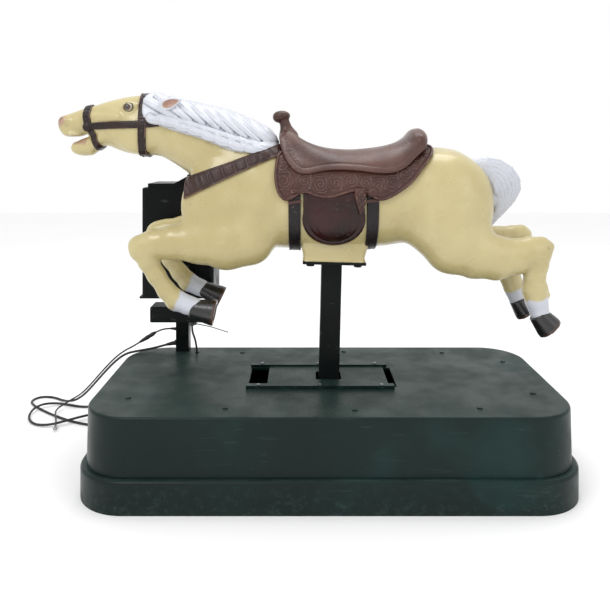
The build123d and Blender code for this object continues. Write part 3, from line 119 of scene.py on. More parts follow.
PLUG_X = COIL_CENTRE[0] + 12
PLUG_Y = 403
PLUG_Z = 13
mains_points = MAINS_ROUTE + [(-458, 401.8, FLOOR)] + coil_points()
mains_points += [(-432, 402.4, 11.4), (-412, 403, 12.8)]
mains_cord = cord_curve("mains_cord_line", mains_points, MAINS_RADIUS)
LEAD_ROUTE = [
    (-456, 250, 280), (-482, 249, 282), (-508, 244, 278), (-536, 236, 264), (-562, 226, 248),
    (-584, 214, 236), (-608, 203, 226), (-644, 217, 197), (-692, 250, 145), (-736, 286, 95),
    (-776, 320, 53), (-812, 346, 27), (-838, 326, 15), (-846, 288, 14), (-836, 252, 15),
    (-822, 218, 18), (-810, 192, 18), (-803, 168, 10),
]
lead_cord = cord_curve("lead_cord_line", LEAD_ROUTE, LEAD_RADIUS)


# ---------------------------------------------------------------- meshes from numbers
def add_mesh(name, verts, faces, smooth=True, scale=MM):
    mesh = bpy.data.meshes.new(name)
    mesh.from_pydata((np.asarray(verts) * scale).tolist(), [], faces)
    mesh.update()
    if smooth:
        mesh.polygons.foreach_set("use_smooth", np.ones(len(mesh.polygons), bool))
    piece = bpy.data.objects.new(name, mesh)
    bpy.context.scene.collection.objects.link(piece)
    return piece


def set_mask(piece, name, values):
    """A number on every vertex, which the materials read by name."""
    layer = piece.data.attributes.new(name, "FLOAT", "POINT")
    layer.data.foreach_set("value", np.asarray(values, np.float32))


def surface(field, low, high, step):
    """The zero surface of a field over a box: one vertex in each crossed cell, then moved onto the surface."""
    low, high = np.array(low, float), np.array(high, float)
    count = np.ceil((high - low) / step).astype(int) + 1
    x, y, z = [low[i] + step * np.arange(count[i]) for i in range(3)]
    values = np.empty(tuple(count), np.float32)
    for i in range(0, count[0], 24):
        part = (x[i : i + 24, None, None], y[None, :, None], z[None, None, :])
        values[i : i + 24] = field(part)
    inside = values < 0
    corners = [(a, b, c) for a in (0, 1) for b in (0, 1) for c in (0, 1)]
    nx, ny, nz = count - 1
    filled = sum(inside[a : a + nx, b : b + ny, c : c + nz].astype(np.int8) for a, b, c in corners)
    mixed = (filled > 0) & (filled < 8)
    cells = np.argwhere(mixed)
    index = np.full(mixed.shape, -1, np.int64)
    index[mixed] = np.arange(len(cells))
    total = np.zeros((len(cells), 3))
    crossings = np.zeros(len(cells))
    for start in corners:
        for axis in range(3):
            if start[axis]:
                continue
            end = list(start)
            end[axis] = 1
            a = values[tuple((cells + start).T)].astype(float)
            b = values[tuple((cells + end).T)].astype(float)
            crossed = (a < 0) != (b < 0)
            share = np.where(crossed, a / np.where(a == b, 1, a - b), 0)
            spot = np.array(start, float)[None, :] + share[:, None] * (np.array(end) - start)[None, :]
            total += spot * crossed[:, None]
            crossings += crossed
    verts = low + step * (cells + total / np.maximum(crossings, 1)[:, None])
    quads = []
    for axis in range(3):
        u, v = [(1, 2), (2, 0), (0, 1)][axis]
        here = [slice(0, None)] * 3
        here[axis] = slice(0, -1)
        there = [slice(0, None)] * 3
        there[axis] = slice(1, None)
        change = inside[tuple(here)] != inside[tuple(there)]
        edges = np.argwhere(change)
        keep = (edges[:, u] > 0) & (edges[:, v] > 0) & (edges[:, u] < count[u] - 1) & (edges[:, v] < count[v] - 1)
        edges = edges[keep]
        around = []
        for du, dv in ((-1, -1), (0, -1), (0, 0), (-1, 0)):
            cell = edges.copy()
            cell[:, u] += du
            cell[:, v] += dv
            around.append(index[tuple(cell.T)])
        quad = np.stack(around, axis=1)
        outward = inside[tuple(edges.T)]
        quad[~outward] = quad[~outward][:, ::-1]
        quads.append(quad)
    quads = np.concatenate(quads)
    verts = settle(field, verts, step)
    return verts, quads


def settle(field, verts, step, rounds=2):
    """Moves points along the field's slope until they lie on its zero surface."""
    for _ in range(rounds):
        here = field(tuple(verts.T))
        slope = np.stack(
            [(field(tuple((verts + np.eye(3)[i] * 0.4).T)) - here) / 0.4 for i in range(3)], axis=1
        )
        size = np.maximum((slope**2).sum(1), 0.05)
        move = -here[:, None] * slope / size[:, None]
        length = np.linalg.norm(move, axis=1, keepdims=True)
        verts = verts + move * np.minimum(1, 0.7 * step / np.maximum(length, 1e-9))
    return verts


def make(name, field, low, high, step, mirror=False):
    """A piece from a field. With mirror, the near side is built and copied across the middle plane."""
    verts, quads = surface(field, low, high, step)
    if mirror:
        other = verts * np.array([1, -1, 1])
        quads = np.concatenate([quads, quads[:, ::-1] + len(verts)])
        verts = np.concatenate([verts, other])
    return add_mesh(name, verts, quads.tolist())


def ring_faces(base, rings, turns):
    """The faces between rings of vertices that follow each other."""
    faces = []
    for i in range(rings - 1):
        for j in range(turns):
            a, b = base + i * turns + j, base + i * turns + (j + 1) % turns
            faces.append((a, b, b + turns, a + turns))
    return faces


def end_faces(rings, turns):
    """The two flat ends of a tube of rings."""
    last = (rings - 1) * turns
    return [tuple(range(turns))[::-1], tuple(range(last, last + turns))]


# ---------------------------------------------------------------- field forms, in millimetres
def smin(a, b, k):
    h = np.maximum(k - np.abs(a - b), 0) / k
    return np.minimum(a, b) - h * h * k * 0.25


def smax(a, b, k):
    return -smin(-a, -b, k)


def bell(value, centre, width):
    return np.exp(-(((value - centre) / width) ** 2))


def smooth_table(xs, ys):
    """A dense table that follows stations without overshoot."""
    xs, ys = np.array(xs, float), np.array(ys, float)
    gap = np.diff(xs)
    slope = np.diff(ys) / gap
    tangent = np.zeros_like(ys)
    tangent[0], tangent[-1] = slope[0], slope[-1]
    for i in range(1, len(ys) - 1):
        if slope[i - 1] * slope[i] > 0:
            w1, w2 = 2 * gap[i] + gap[i - 1], gap[i] + 2 * gap[i - 1]
            tangent[i] = (w1 + w2) / (w1 / slope[i - 1] + w2 / slope[i])
    dense = np.linspace(xs[0], xs[-1], 500)
    i = np.clip(np.searchsorted(xs, dense, side="right") - 1, 0, len(xs) - 2)
    t = (dense - xs[i]) / gap[i]
    value = (
        (2 * t**3 - 3 * t**2 + 1) * ys[i]
        + (t**3 - 2 * t**2 + t) * gap[i] * tangent[i]
        + (3 * t**2 - 2 * t**3) * ys[i + 1]
        + (t**3 - t**2) * gap[i] * tangent[i + 1]
    )
    return dense, value


class Form:
    """A form swept along a straight line in the upright middle plane, with smoothly changing sections."""

    def __init__(self, origin, direction, stations, power=2.0):
        length = math.hypot(*direction)
        self.origin = origin
        self.along = (direction[0] / length, direction[1] / length)
        rows = np.array(sorted(stations), float)
        self.ends = (rows[0, 0], rows[-1, 0])
        self.tables = [smooth_table(rows[:, 0], rows[:, i]) for i in (1, 2, 3)]
        self.power = power

    def __call__(self, p):
        x, y, z = p
        dx, dz = x - self.origin[0], z - self.origin[1]
        s = dx * self.along[0] + dz * self.along[1]
        n = (dz * self.along[0] - dx * self.along[1]) * (1 if self.along[0] > 0 else -1)
        top, bottom, half = [np.interp(s, *table) for table in self.tables]
        depth = np.maximum((top - bottom) / 2, 0.5)
        half = np.maximum(half, 0.5)
        a = np.abs(n - (top + bottom) / 2) / depth
        b = np.abs(y) / half
        q = self.power
        if q == 2.0:
            k = np.sqrt(a * a + b * b)
            rate = np.sqrt((a / depth) ** 2 + (b / half) ** 2) / np.maximum(k, 1e-3)
        else:
            k = (a**q + b**q) ** (1 / q)
            rate = np.sqrt((a ** (q - 1) / depth) ** 2 + (b ** (q - 1) / half) ** 2) / np.maximum(k, 1e-3) ** (q - 1)
        d = np.where(k < 0.2, -0.8 * np.minimum(depth, half), (k - 1) / np.maximum(rate, 1e-6))
        past = np.maximum(np.maximum(self.ends[0] - s, s - self.ends[1]), 0)
        return np.where(past > 0, np.sqrt(np.maximum(d, 0) ** 2 + past**2), d)


def limb(p, side, stations, flat=0.86, k=10):
    """A chain of round cones in x, z and radius, at a distance from the middle, thinner across by flat."""
    x, y, z = p
    d = np.inf
    across = (y - side) / flat
    for (x0, z0, r0), (x1, z1, r1) in zip(stations, stations[1:]):
        ex, ez = x1 - x0, z1 - z0
        t = np.clip(((x - x0) * ex + (z - z0) * ez) / (ex * ex + ez * ez), 0, 1)
        t = t * t * (3 - 2 * t) * 0.35 + t * 0.65
        part = np.sqrt((x - x0 - ex * t) ** 2 + across**2 + (z - z0 - ez * t) ** 2) - (r0 + (r1 - r0) * t)
        d = smin(d, part, k)
    return d


def blob(p, centre, radii):
    """An ellipsoid."""
    q = [(p[i] - centre[i]) / radii[i] for i in range(3)]
    k0 = np.sqrt(q[0] ** 2 + q[1] ** 2 + q[2] ** 2)
    k1 = np.sqrt((q[0] / radii[0]) ** 2 + (q[1] / radii[1]) ** 2 + (q[2] / radii[2]) ** 2)
    return k0 * (k0 - 1) / np.maximum(k1, 1e-6)


def capsule(p, a, b, ra, rb):
    """A round cone between two points."""
    e = np.array(b, float) - np.array(a, float)
    q = [p[i] - a[i] for i in range(3)]
    t = np.clip((q[0] * e[0] + q[1] * e[1] + q[2] * e[2]) / (e @ e), 0, 1)
    return np.sqrt(sum((q[i] - e[i] * t) ** 2 for i in range(3))) - (ra + (rb - ra) * t)


def outline(p, points):
    """Signed distance to a closed outline of (x, z) points, seen from the side."""
    x, z = p[0], p[2]
    best, inside = np.inf, False
    for (x0, z0), (x1, z1) in zip(points, points[1:] + points[:1]):
        ex, ez = x1 - x0, z1 - z0
        t = np.clip(((x - x0) * ex + (z - z0) * ez) / (ex * ex + ez * ez), 0, 1)
        d2 = (x - x0 - ex * t) ** 2 + (z - z0 - ez * t) ** 2
        best = np.minimum(best, d2)
        crosses = ((z0 > z) != (z1 > z)) & (x < x0 + ex * (z - z0) / (ez if ez else 1e-9))
        inside = inside ^ crosses
    return np.where(inside, -1.0, 1.0) * np.sqrt(best)


def bent(start, control, end, t):
    """A point on a quadratic curve."""
    return tuple((1 - t) ** 2 * start[m] + 2 * t * (1 - t) * control[m] + t * t * end[m] for m in (0, 1))


def rounded(points, pieces=6):
    """A closed outline with its corners smoothed, as more points on a closed quadratic curve."""
    made = []
    n = len(points)
    for i in range(n):
        a, b, c = points[i - 1], points[i], points[(i + 1) % n]
        start = ((a[0] + b[0]) / 2, (a[1] + b[1]) / 2)
        end = ((b[0] + c[0]) / 2, (b[1] + c[1]) / 2)
        for j in range(pieces):
            made.append(bent(start, b, end, j / pieces))
    return made


# ---------------------------------------------------------------- the horse's body
# stations: place along the line, top, bottom, half width
TRUNK = Form(
    (0, 0),
    (1, 0),
    [
        (-366, 742, 672, 24), (-360, 752, 640, 46), (-345, 776, 614, 72), (-310, 812, 590, 92),
        (-262, 838, 576, 104), (-180, 850, 573, 118), (-60, 826, 570, 124), (60, 817, 568, 125),
        (150, 824, 577, 124), (225, 836, 586, 124), (290, 843, 580, 122), (340, 838, 578, 114),
        (376, 822, 585, 102), (401, 803, 592, 86), (418, 774, 600, 68), (430, 735, 620, 46), (437, 700, 650, 20),
    ],
    2.15,
)
NECK = Form(
    (-215, 772),
    (-0.915, 0.402),
    [
        (-60, 84, -130, 98), (0, 118, -112, 92), (60, 122, -92, 84), (110, 122, -72, 77), (172, 110, -58, 68),
        (215, 101, -52, 61), (248, 94, -50, 56), (285, 84, -46, 52), (312, 62, -36, 44),
    ],
)
SKULL = Form(
    (0, 0),
    (1, 0),
    [
        (-729, 918, 906, 8), (-724, 925, 888, 18), (-714, 930, 877, 25), (-700, 934, 873, 29), (-680, 941, 875, 30.5),
        (-655, 950, 878, 32), (-625, 958, 866, 37), (-600, 966, 852, 43), (-570, 974, 838, 49), (-540, 980, 828, 53),
        (-505, 984, 823, 54), (-475, 985, 826, 53), (-450, 978, 836, 48), (-432, 962, 850, 40),
    ],
)
JAW = Form(
    (0, 0),
    (1, 0),
    [
        (-693, 850, 834, 10), (-688, 856, 828, 17), (-678, 860, 823, 21), (-660, 868, 820, 23), (-640, 874, 821, 26),
        (-622, 880, 832, 31), (-604, 890, 846, 38), (-590, 890, 850, 34),
    ],
)
NEAR_FORE = [(-205, 600, 66), (-262, 590, 66), (-330, 592, 53), (-400, 594, 44), (-455, 588, 38), (-481, 580, 34)]
NEAR_SHIN = [
    (-481, 580, 33), (-468, 545, 26), (-447, 508, 23), (-420, 468, 23), (-396, 444, 26), (-366, 431, 23),
    (-344, 424, 24),
]
FAR_FORE = [(-205, 612, 64), (-262, 602, 64), (-330, 604, 52), (-400, 606, 42), (-450, 602, 36), (-474, 598, 33)]
FAR_SHIN = [
    (-474, 600, 32), (-462, 566, 26), (-440, 525, 23), (-413, 487, 23), (-390, 462, 25), (-362, 448, 22),
    (-342, 439, 23),
]
NEAR_HIND = [
    (285, 640, 82), (330, 590, 79), (385, 566, 66), (440, 553, 57), (490, 556, 46), (532, 568, 39),
    (553, 571, 34),
]
NEAR_CANNON = [(553, 571, 32), (549, 535, 29), (543, 500, 27), (543, 470, 31), (548, 442, 28), (556, 412, 26)]
FAR_HIND = [
    (285, 650, 80), (330, 604, 77), (385, 580, 64), (440, 572, 54), (490, 576, 43), (530, 586, 35),
    (548, 588, 31),
]
FAR_CANNON = [(548, 588, 30), (540, 550, 28), (528, 512, 26), (521, 476, 27), (530, 448, 25), (541, 416, 23)]
FORE_Y = 74
HIND_Y = 68
# side, stations, thinness across, and how softly it joins: the legs, then hocks, fetlocks and knee
LEG_PARTS = [
    (-FORE_Y, NEAR_FORE, 0.78, 30), (-FORE_Y, NEAR_SHIN, 0.84, 12), (FORE_Y, FAR_FORE, 0.78, 30),
    (FORE_Y, FAR_SHIN, 0.84, 12), (-HIND_Y, NEAR_HIND, 0.8, 34), (-HIND_Y, NEAR_CANNON, 0.82, 12),
    (HIND_Y, FAR_HIND, 0.8, 34), (HIND_Y, FAR_CANNON, 0.82, 12),
    (-HIND_Y, [(566, 588, 17), (582, 583, 12)], 0.8, 12), (HIND_Y, [(556, 606, 16), (569, 600, 11)], 0.8, 12),
    (-HIND_Y, [(562, 470, 17), (576, 456, 8)], 0.7, 10), (HIND_Y, [(536, 480, 15), (548, 466, 8)], 0.7, 10),
    (-FORE_Y, [(-500, 588, 17), (-497, 568, 16)], 0.9, 14), (-FORE_Y, [(-398, 436, 16), (-396, 430, 12)], 0.7, 10),
]
EYE = (-527, 45, 949)


def torso(p):
    """Trunk and neck alone, which the saddle and girths lie on."""
    return smin(TRUNK(p), NECK(p), 46)


def body(p):
    """The trunk and neck with the muscles of shoulder, chest and quarters."""
    q = (p[0], np.abs(p[1]), p[2])
    d = torso(p)
    d = smin(d, blob(q, (-300, 62, 690), (84, 46, 104)), 34)
    d = smin(d, blob(q, (-352, 36, 676), (26, 34, 52)), 22)
    d = smin(d, blob(q, (322, 62, 690), (92, 62, 122)), 40)
    return smin(d, blob(q, (398, 42, 690), (44, 44, 96)), 26)


def head(p):
    q = (p[0], np.abs(p[1]), p[2])
    d = smin(SKULL(p), JAW(p), 9)
    d = smin(d, capsule(q, (-648, 29, 926), (-556, 47, 922), 5, 8), 12)
    d = smin(d, blob(q, (-505, 40, 868), (44, 17, 40)), 22)
    d = smin(d, blob(q, (-706, 18, 915), (15, 14, 11)), 10)
    d = smin(d, blob(q, (-686, 12, 880), (26, 19, 8)), 8)
    d = smin(d, blob(q, (EYE[0], 43, 950), (22, 9, 15)), 8)
    d = smax(d, -blob(q, (-716, 23, 918), (9, 7, 5.5)), 4)
    d = smax(d, -(capsule(q, (EYE[0] + 3, 58, EYE[2] + 1), (EYE[0], 46, EYE[2]), 11.6, 11.3)), 3)
    return smax(d, -(capsule(q, (-700, 27, 902), (-664, 34, 886), 1.6, 1.2)), 3)


def horse_field(p):
    d = smin(body(p), head(p), 26)
    for side, stations, flat, blend in LEG_PARTS:
        d = smin(d, limb(p, side, stations, flat), blend)
    return d


STEP = 4.2
horse = make("horse_body", horse_field, (-740, -150, 340), (615, 150, 1000), STEP)


# ---------------------------------------------------------------- painted areas of the body
SOCKS = [
    (-FORE_Y, (-394, 441), (0.915, -0.40), 74),
    (FORE_Y, (-388, 455), (0.915, -0.40), 70),
    (-HIND_Y, (546, 447), (0.15, -0.99), 74),
    (HIND_Y, (525, 441), (0.42, -0.9), 70),
]


def vertices_of(piece):
    co = np.empty(len(piece.data.vertices) * 3, np.float32)
    piece.data.vertices.foreach_get("co", co)
    return co.reshape(-1, 3).astype(float) / MM


def ramp(value, low, high):
    t = np.clip((value - low) / (high - low), 0, 1)
    return t * t * (3 - 2 * t)


v = vertices_of(horse)
sock = np.zeros(len(v))
for leg_y, (sx, sz), (dx, dz), reach in SOCKS:
    along = (v[:, 0] - sx) * dx + (v[:, 2] - sz) * dz
    near = (np.hypot(v[:, 0] - sx, v[:, 2] - sz) < reach) & (v[:, 1] * leg_y > 0)
    sock = np.maximum(sock, ramp(along + 2.5 * np.sin(v[:, 1] * 0.35), -2, 3) * near)
set_mask(horse, "sock", sock)
nose = ramp(-np.sqrt(((v[:, 0] + 722) / 22) ** 2 + ((v[:, 2] - 916) / 17) ** 2), -1.3, -0.5)
mouth = (v[:, 0] < -648) * ramp(-np.abs(v[:, 2] - (862 + (-v[:, 0] - 652) * 0.03)), -16, -6)
set_mask(horse, "pink", np.clip(nose * 0.9 + mouth * 0.75, 0, 1))
lids = ramp(-np.sqrt(((v[:, 0] - EYE[0]) / 15) ** 2 + ((v[:, 2] - EYE[2]) / 12) ** 2), -1.15, -0.8)
set_mask(horse, "dark", lids * (np.abs(v[:, 1]) > 30))


# ---------------------------------------------------------------- hooves with shoes
HOOVES = [
    (-FORE_Y, (-354, 421), (-300, 411), 24, 34),
    (FORE_Y, (-350, 442), (-301, 418), 23, 33),
    (-HIND_Y, (552, 404), (580, 371), 25, 34),
    (HIND_Y, (540, 411), (562, 377), 24, 32),
]


def hoof_field(side, start, end, thin, wide):
    ux, uz = end[0] - start[0], end[1] - start[1]
    length = math.hypot(ux, uz)
    ux, uz = ux / length, uz / length

    def field(p):
        x, y, z = p
        s = (x - start[0]) * ux + (z - start[1]) * uz
        n = -(x - start[0]) * uz + (z - start[1]) * ux
        radius = thin + (wide - thin) * np.clip(s / length, -0.2, 1.2)
        heel = np.where(n < 0, 0.86, 1.0) if side * ux > 0 else 1.0
        r = np.sqrt((n / heel) ** 2 + ((y - side) / 0.92) ** 2) - radius
        d = smax(r, s - length, 3)
        d = smax(d, -s - 2 + 0.12 * n, 4)
        sole = np.abs(np.sqrt(n * n + (y - side) ** 2) - radius + 15) - 1.6
        d = smax(d, -(sole + np.maximum(length - 5 - s, 0)), 1)
        shoe = np.maximum(np.abs(s - length - 3) - 3.2333, np.abs(r + radius - wide + 5.5) - 5.0333)
        grooves = 0.35 * np.sin(s * 0.9)
        return np.minimum(d + grooves * (s < length - 2), shoe)

    return field


def join(name, parts):
    """Several meshes as one."""
    verts, faces = [], []
    for piece in parts:
        base = len(verts)
        verts += [tuple(vertex.co) for vertex in piece.data.vertices]
        faces += [tuple(base + i for i in polygon.vertices) for polygon in piece.data.polygons]
        bpy.data.objects.remove(piece)
    return add_mesh(name, verts, faces, scale=1)


hoof_parts = []
for i, (side, start, end, thin, wide) in enumerate(HOOVES):
    middle = ((start[0] + end[0]) / 2, (start[1] + end[1]) / 2)
    low = (middle[0] - 52, side - 42, middle[1] - 52)
    high = (middle[0] + 56, side + 42, middle[1] + 56)
    hoof_parts.append(make(f"hoof_{i}", hoof_field(side, start, end, thin, wide), low, high, 2.4))
hooves = join("hooves_and_shoes", hoof_parts)
v = vertices_of(hooves)
shoe = np.zeros(len(v))
for side, start, end, thin, wide in HOOVES:
    ux, uz = end[0] - start[0], end[1] - start[1]
    length = math.hypot(ux, uz)
    s = ((v[:, 0] - start[0]) * ux + (v[:, 2] - start[1]) * uz) / length
    near = (np.hypot(v[:, 0] - end[0], v[:, 2] - end[1]) < 60) & (v[:, 1] * side > 0)
    shoe = np.maximum(shoe, ramp(s, length - 1.5, length + 0.5) * near)
set_mask(hooves, "shoe", shoe)


# ---------------------------------------------------------------- eyes
def eye_pair():
    """Two glass eyes, their rings of faces centred on the pupil."""
    verts, faces, iris = [], [], []
    rings, turns, radius = 22, 32, 11
    for side in (-1, 1):
        base = len(verts)
        out = Vector((-0.16, side * 0.98, 0.1)).normalized()
        u = out.orthogonal().normalized()
        w = out.cross(u)
        for i in range(rings + 1):
            angle = math.pi * i / rings
            bulge = radius * (1 + 0.05 * math.exp(-((angle / 0.45) ** 2)))
            for j in range(turns):
                t = 2 * math.pi * j / turns
                spoke = u * math.cos(t) + w * math.sin(t)
                spot = out * (bulge * math.cos(angle)) + spoke * (bulge * math.sin(angle))
                verts.append((EYE[0] + spot.x, side * EYE[1] + spot.y, EYE[2] + spot.z))
                iris.append(angle)
        faces += ring_faces(base, rings + 1, turns)
    piece = add_mesh("eyes_glass", verts, faces)
    set_mask(piece, "iris", iris)
    return piece


eyes = eye_pair()


# ---------------------------------------------------------------- tack laid on the body
def shell(base, thickness, edge, rounding=2.5, under=2.0):
    """Leather of a thickness on a base field, inside an edge field."""
    outer = smax(base - thickness, edge, rounding)
    return np.maximum(outer, -base - under)


SKIRT = rounded(
    [
        (-128, 846), (-136, 800), (-138, 762), (-130, 722), (-104, 700), (-62, 732), (-34, 716), (8, 711),
        (50, 727), (86, 733), (126, 704), (158, 712), (212, 748), (246, 792), (284, 836), (270, 862), (60, 850),
    ],
    4,
)
SEAT_EDGE = rounded(
    [
        (-128, 930), (-132, 872), (-110, 806), (-72, 768), (-8, 784), (62, 785), (150, 772),
        (196, 786), (232, 822), (266, 846), (270, 930),
    ],
    5,
)
SCROLLS = [
    (-112, 757, 19, 1), (-58, 757, 17, -1), (-20, 748, 18, 1), (20, 752, 17, -1), (58, 756, 16, 1), (95, 751, 16, -1),
    (128, 744, 17, 1), (163, 752, 17, -1), (196, 775, 16, 1), (226, 805, 15, -1), (252, 834, 12, 1),
    (-118, 720, 12, -1), (-118, 800, 13, -1), (141, 722, 9, 1),
]


def tooling(p, scrolls=SCROLLS):
    """Raised scrolls and leaves of carved leather, as a height from 0 to 1."""
    x, z = p[0], p[2]
    relief = 0.0
    for cx, cz, size, turn in scrolls:
        dx, dz = x - cx, z - cz
        rho = np.sqrt(dx * dx + dz * dz) + 1e-6
        phi = np.arctan2(dz, dx) * turn / (2 * np.pi)
        pitch = size / 2.1
        spiral = np.abs(np.mod(rho / pitch - phi + 0.5, 1) - 0.5) * pitch
        line = np.clip(1 - spiral / 2.4, 0, 1) * (rho < size)
        petals = 0.5 + 0.5 * np.cos(phi * 2 * np.pi * 6)
        rim = np.clip(1 - np.abs(rho - size - 2.5 - 2.2 * petals) / 2.2, 0, 1)
        relief = np.maximum(relief, np.maximum(line, rim))
    return np.sqrt(np.clip(relief, 0, 1))


def fender_edge(p):
    x, z = p[0], p[2]
    oval = (np.sqrt(((x - 14.5) / 80) ** 2 + ((z - 660) / 73) ** 2) - 1) * 76
    upper = np.maximum(np.abs(x - 14.5) - 78, np.maximum(660 - z, z - 745))
    return np.minimum(oval, upper)


def fender_field(p):
    x, z = p[0], p[2]
    edge = fender_edge(p)
    height = 7.5 + 1.6 * bell(edge, -6, 4) - 1.8 * bell(edge, -13, 3)
    height = height + 5 * bell(z, 707, 14) * np.clip(1 - np.abs(x - 14.5) / 75, 0, 1)
    inner = np.sqrt((x - 14.5) ** 2 + (z - 652) ** 2) - 46
    height = height + 1.6 / (1 + np.exp(np.clip(inner / 2.0, -30, 30)))
    return shell(torso(p), height, edge, 3)


def skirt_field(p):
    edge = outline(p, SKIRT)
    rim = 2.0 * bell(edge, -4, 3) - 1.4 * bell(edge, -9.5, 1.8)
    carved = tooling(p) * 1.9 * ramp(-edge, 9, 13)
    return shell(torso(p), 12.5 + rim + carved, edge, 4)


SEAT_CORE = Form(
    (0, 0),
    (1, 0),
    [
        (-136, 838, 740, 34), (-131, 862, 736, 52), (-122, 880, 730, 60), (-108, 893, 725, 63), (-92, 890, 722, 66),
        (-70, 877, 715, 74), (-45, 862, 710, 84), (-15, 846, 705, 95), (20, 832, 700, 103), (60, 825, 698, 108),
        (100, 828, 700, 110), (150, 838, 705, 112), (185, 851, 712, 111), (212, 872, 725, 107), (232, 888, 740, 102),
        (248, 889, 752, 94), (262, 876, 765, 80), (274, 852, 785, 60), (281, 826, 800, 34),
    ],
    2.2,
)


def seat_field(p):
    x, y, z = p
    side = np.abs(y)
    edge = outline(p, SEAT_EDGE)
    core = SEAT_CORE(p)
    dish = blob((x, side, z), (58, 0, 915), (150, 78, 86))
    core = smax(core, -dish, 26)
    core = smin(core, blob((x, side, z), (246, 0, 862), (26, 88, 30)), 16)
    rim = -1.8 * bell(edge, -16, 2.0) + 1.2 * bell(edge, -6, 6)
    swirl = tooling(p, [(-100, 822, 12, 1), (-84, 796, 11, -1), (-112, 846, 9, -1)]) * 1.5 * (edge < -6)
    cover = torso(p) - (19.5 + rim + swirl)
    return np.maximum(smax(smin(core, cover, 26), edge, 7), -torso(p) - 2)


skirts = make("saddle_skirt_leather", skirt_field, (-146, -146, 690), (294, -4, 880), 1.9, mirror=True)
seat = make("saddle_seat_leather", seat_field, (-146, -150, 755), (290, 150, 900), 2.6)
fenders = make("saddle_fender_leather", fender_field, (-70, -142, 575), (100, -30, 755), 2.0, mirror=True)


def horn_field(p):
    neck = capsule(p, (-103, 0, 868), (-116, 0, 918), 19, 13)
    foot = blob(p, (-102, 0, 872), (25, 26, 20))
    cap_top = blob(p, (-122, 0, 929), (23, 21, 14))
    lip = blob(p, (-131, 0, 922), (14, 17, 12))
    return smin(smin(neck, foot, 16), smin(cap_top, lip, 8), 6)


horn = make("saddle_horn_leather", horn_field, (-154, -34, 846), (-74, 34, 950), 1.8)


def ties_field(p):
    """The tie straps and keepers that hang beside each fender."""
    x, y, z = p
    base = torso(p)
    body = outline(p, [(66, 738), (92, 740), (94, 700), (86, 676), (80, 672), (74, 690), (68, 712)])
    twist = 1.5 * np.sin(z * 0.42) * np.sin(x * 0.5)
    strap = shell(base, 19 + twist, body, 3)
    knot = blob(p, (81, -131, 722), (16, 11, 13))
    conch = blob(p, (112, -134, 727), (15, 7, 12))
    keeper = shell(base, 9, outline(p, [(96, 709), (130, 712), (130, 704), (96, 702)]), 2)
    keeper_front = shell(base, 9, outline(p, [(-102, 705), (-68, 709), (-68, 701), (-102, 698)]), 2)
    bar = shell(base, 17, outline(p, [(-96, 735), (-52, 737), (-52, 728), (-94, 726)]), 2)
    d = np.minimum(smin(strap, knot, 5), conch)
    return np.minimum(np.minimum(d, bar), np.minimum(keeper, keeper_front))


ties = make("saddle_tie_straps", ties_field, (-106, -150, 664), (134, -90, 746), 1.9, mirror=True)


def girth_field(p):
    x, z = p[0], p[2]
    d = np.inf
    for low, high in ((-101, -70), (98, 129)):
        edge = np.maximum(np.maximum(low - x, x - high), z - 722)
        bead = 1.0 * bell(edge, -3, 2) - 0.9 * bell(edge, -6.5, 1.2)
        part = shell(torso(p), 5.5 + bead, edge, 2)
        d = np.minimum(d, part)
    return d


girths = make("girth_strap_leather", girth_field, (-106, -136, 555), (134, 136, 726), 2.4)

COLLAR = [(-122, 855), (-250, 806), (-374, 764), (-374, 708), (-250, 766), (-122, 824)]


def collar_field(p):
    x, z = p[0], p[2]
    edge = outline(p, COLLAR)
    run = -(x + 122) * 0.93 + (855 - z) * 0.36
    block = np.abs(np.mod(run / 33, 1) - 0.5)
    raised = ramp(-edge, 5, 7.5) * ramp(-block, -0.42, -0.36) * 1.6
    stud = bell(block, 0.25, 0.06) * ramp(-edge, 9, 12) * 0.9
    rim = 1.1 * bell(edge, -2.5, 2)
    return shell(body(p), 6 + raised + stud + rim, edge, 2.5)


collar = make("breast_collar_leather", collar_field, (-384, -126, 700), (-120, 0, 862), 1.9, mirror=True)


NOSEBAND = [(-657, 975), (-636, 975), (-629, 893), (-650, 893)]
CHIN_STRAP = [(-650, 900), (-630, 900), (-602, 838), (-620, 834)]
CHEEK_STRAP = rounded(
    [(-652, 908), (-560, 912), (-500, 913), (-430, 918), (-430, 897), (-500, 893), (-560, 892), (-652, 888)], 3
)
BROW_STRAP = [(-500, 1000), (-483, 1000), (-479, 905), (-481, 812), (-498, 812), (-498, 905)]


def bridle_field(p):
    x, y, z = p
    side = np.abs(y)
    base = smin(head(p), torso(p), 26)
    d = np.inf
    for strap, pace in ((NOSEBAND, z), (CHIN_STRAP, z), (CHEEK_STRAP, x), (BROW_STRAP, z)):
        edge = outline(p, strap)
        braid = 0.8 * np.abs(np.sin(pace * 0.36)) * ramp(-edge, 2, 4)
        part = shell(base, 4.6 + braid, edge, 2)
        d = np.minimum(d, part)
    q = (x, side, z)
    d = np.minimum(d, np.maximum(blob(q, (-640, 36, 897), (13, 8, 13)), -base - 2))
    d = np.minimum(d, np.maximum(blob(q, (-490, 56, 904), (13, 8, 13)), -base - 2))
    band = base - 6.4
    ear_loop = np.maximum(band, np.abs(outline(p, BROW_STRAP)) - 1.2)
    return np.minimum(d, np.maximum(ear_loop, -base - 2))


bridle = make("bridle_leather", bridle_field, (-664, -68, 806), (-426, 0, 992), 1.8, mirror=True)


# ---------------------------------------------------------------- mane, ears and tail
MANE = rounded(
    [
        (-489, 990), (-443, 1006), (-365, 1008), (-306, 990), (-235, 968), (-178, 944), (-138, 905), (-126, 862),
        (-150, 838), (-200, 824), (-255, 832), (-318, 862), (-386, 880), (-441, 898), (-486, 916), (-492, 950),
    ],
    3,
)


def lock_points(start, control, end, count=7):
    return [bent(start, control, end, i / (count - 1)) for i in range(count)]


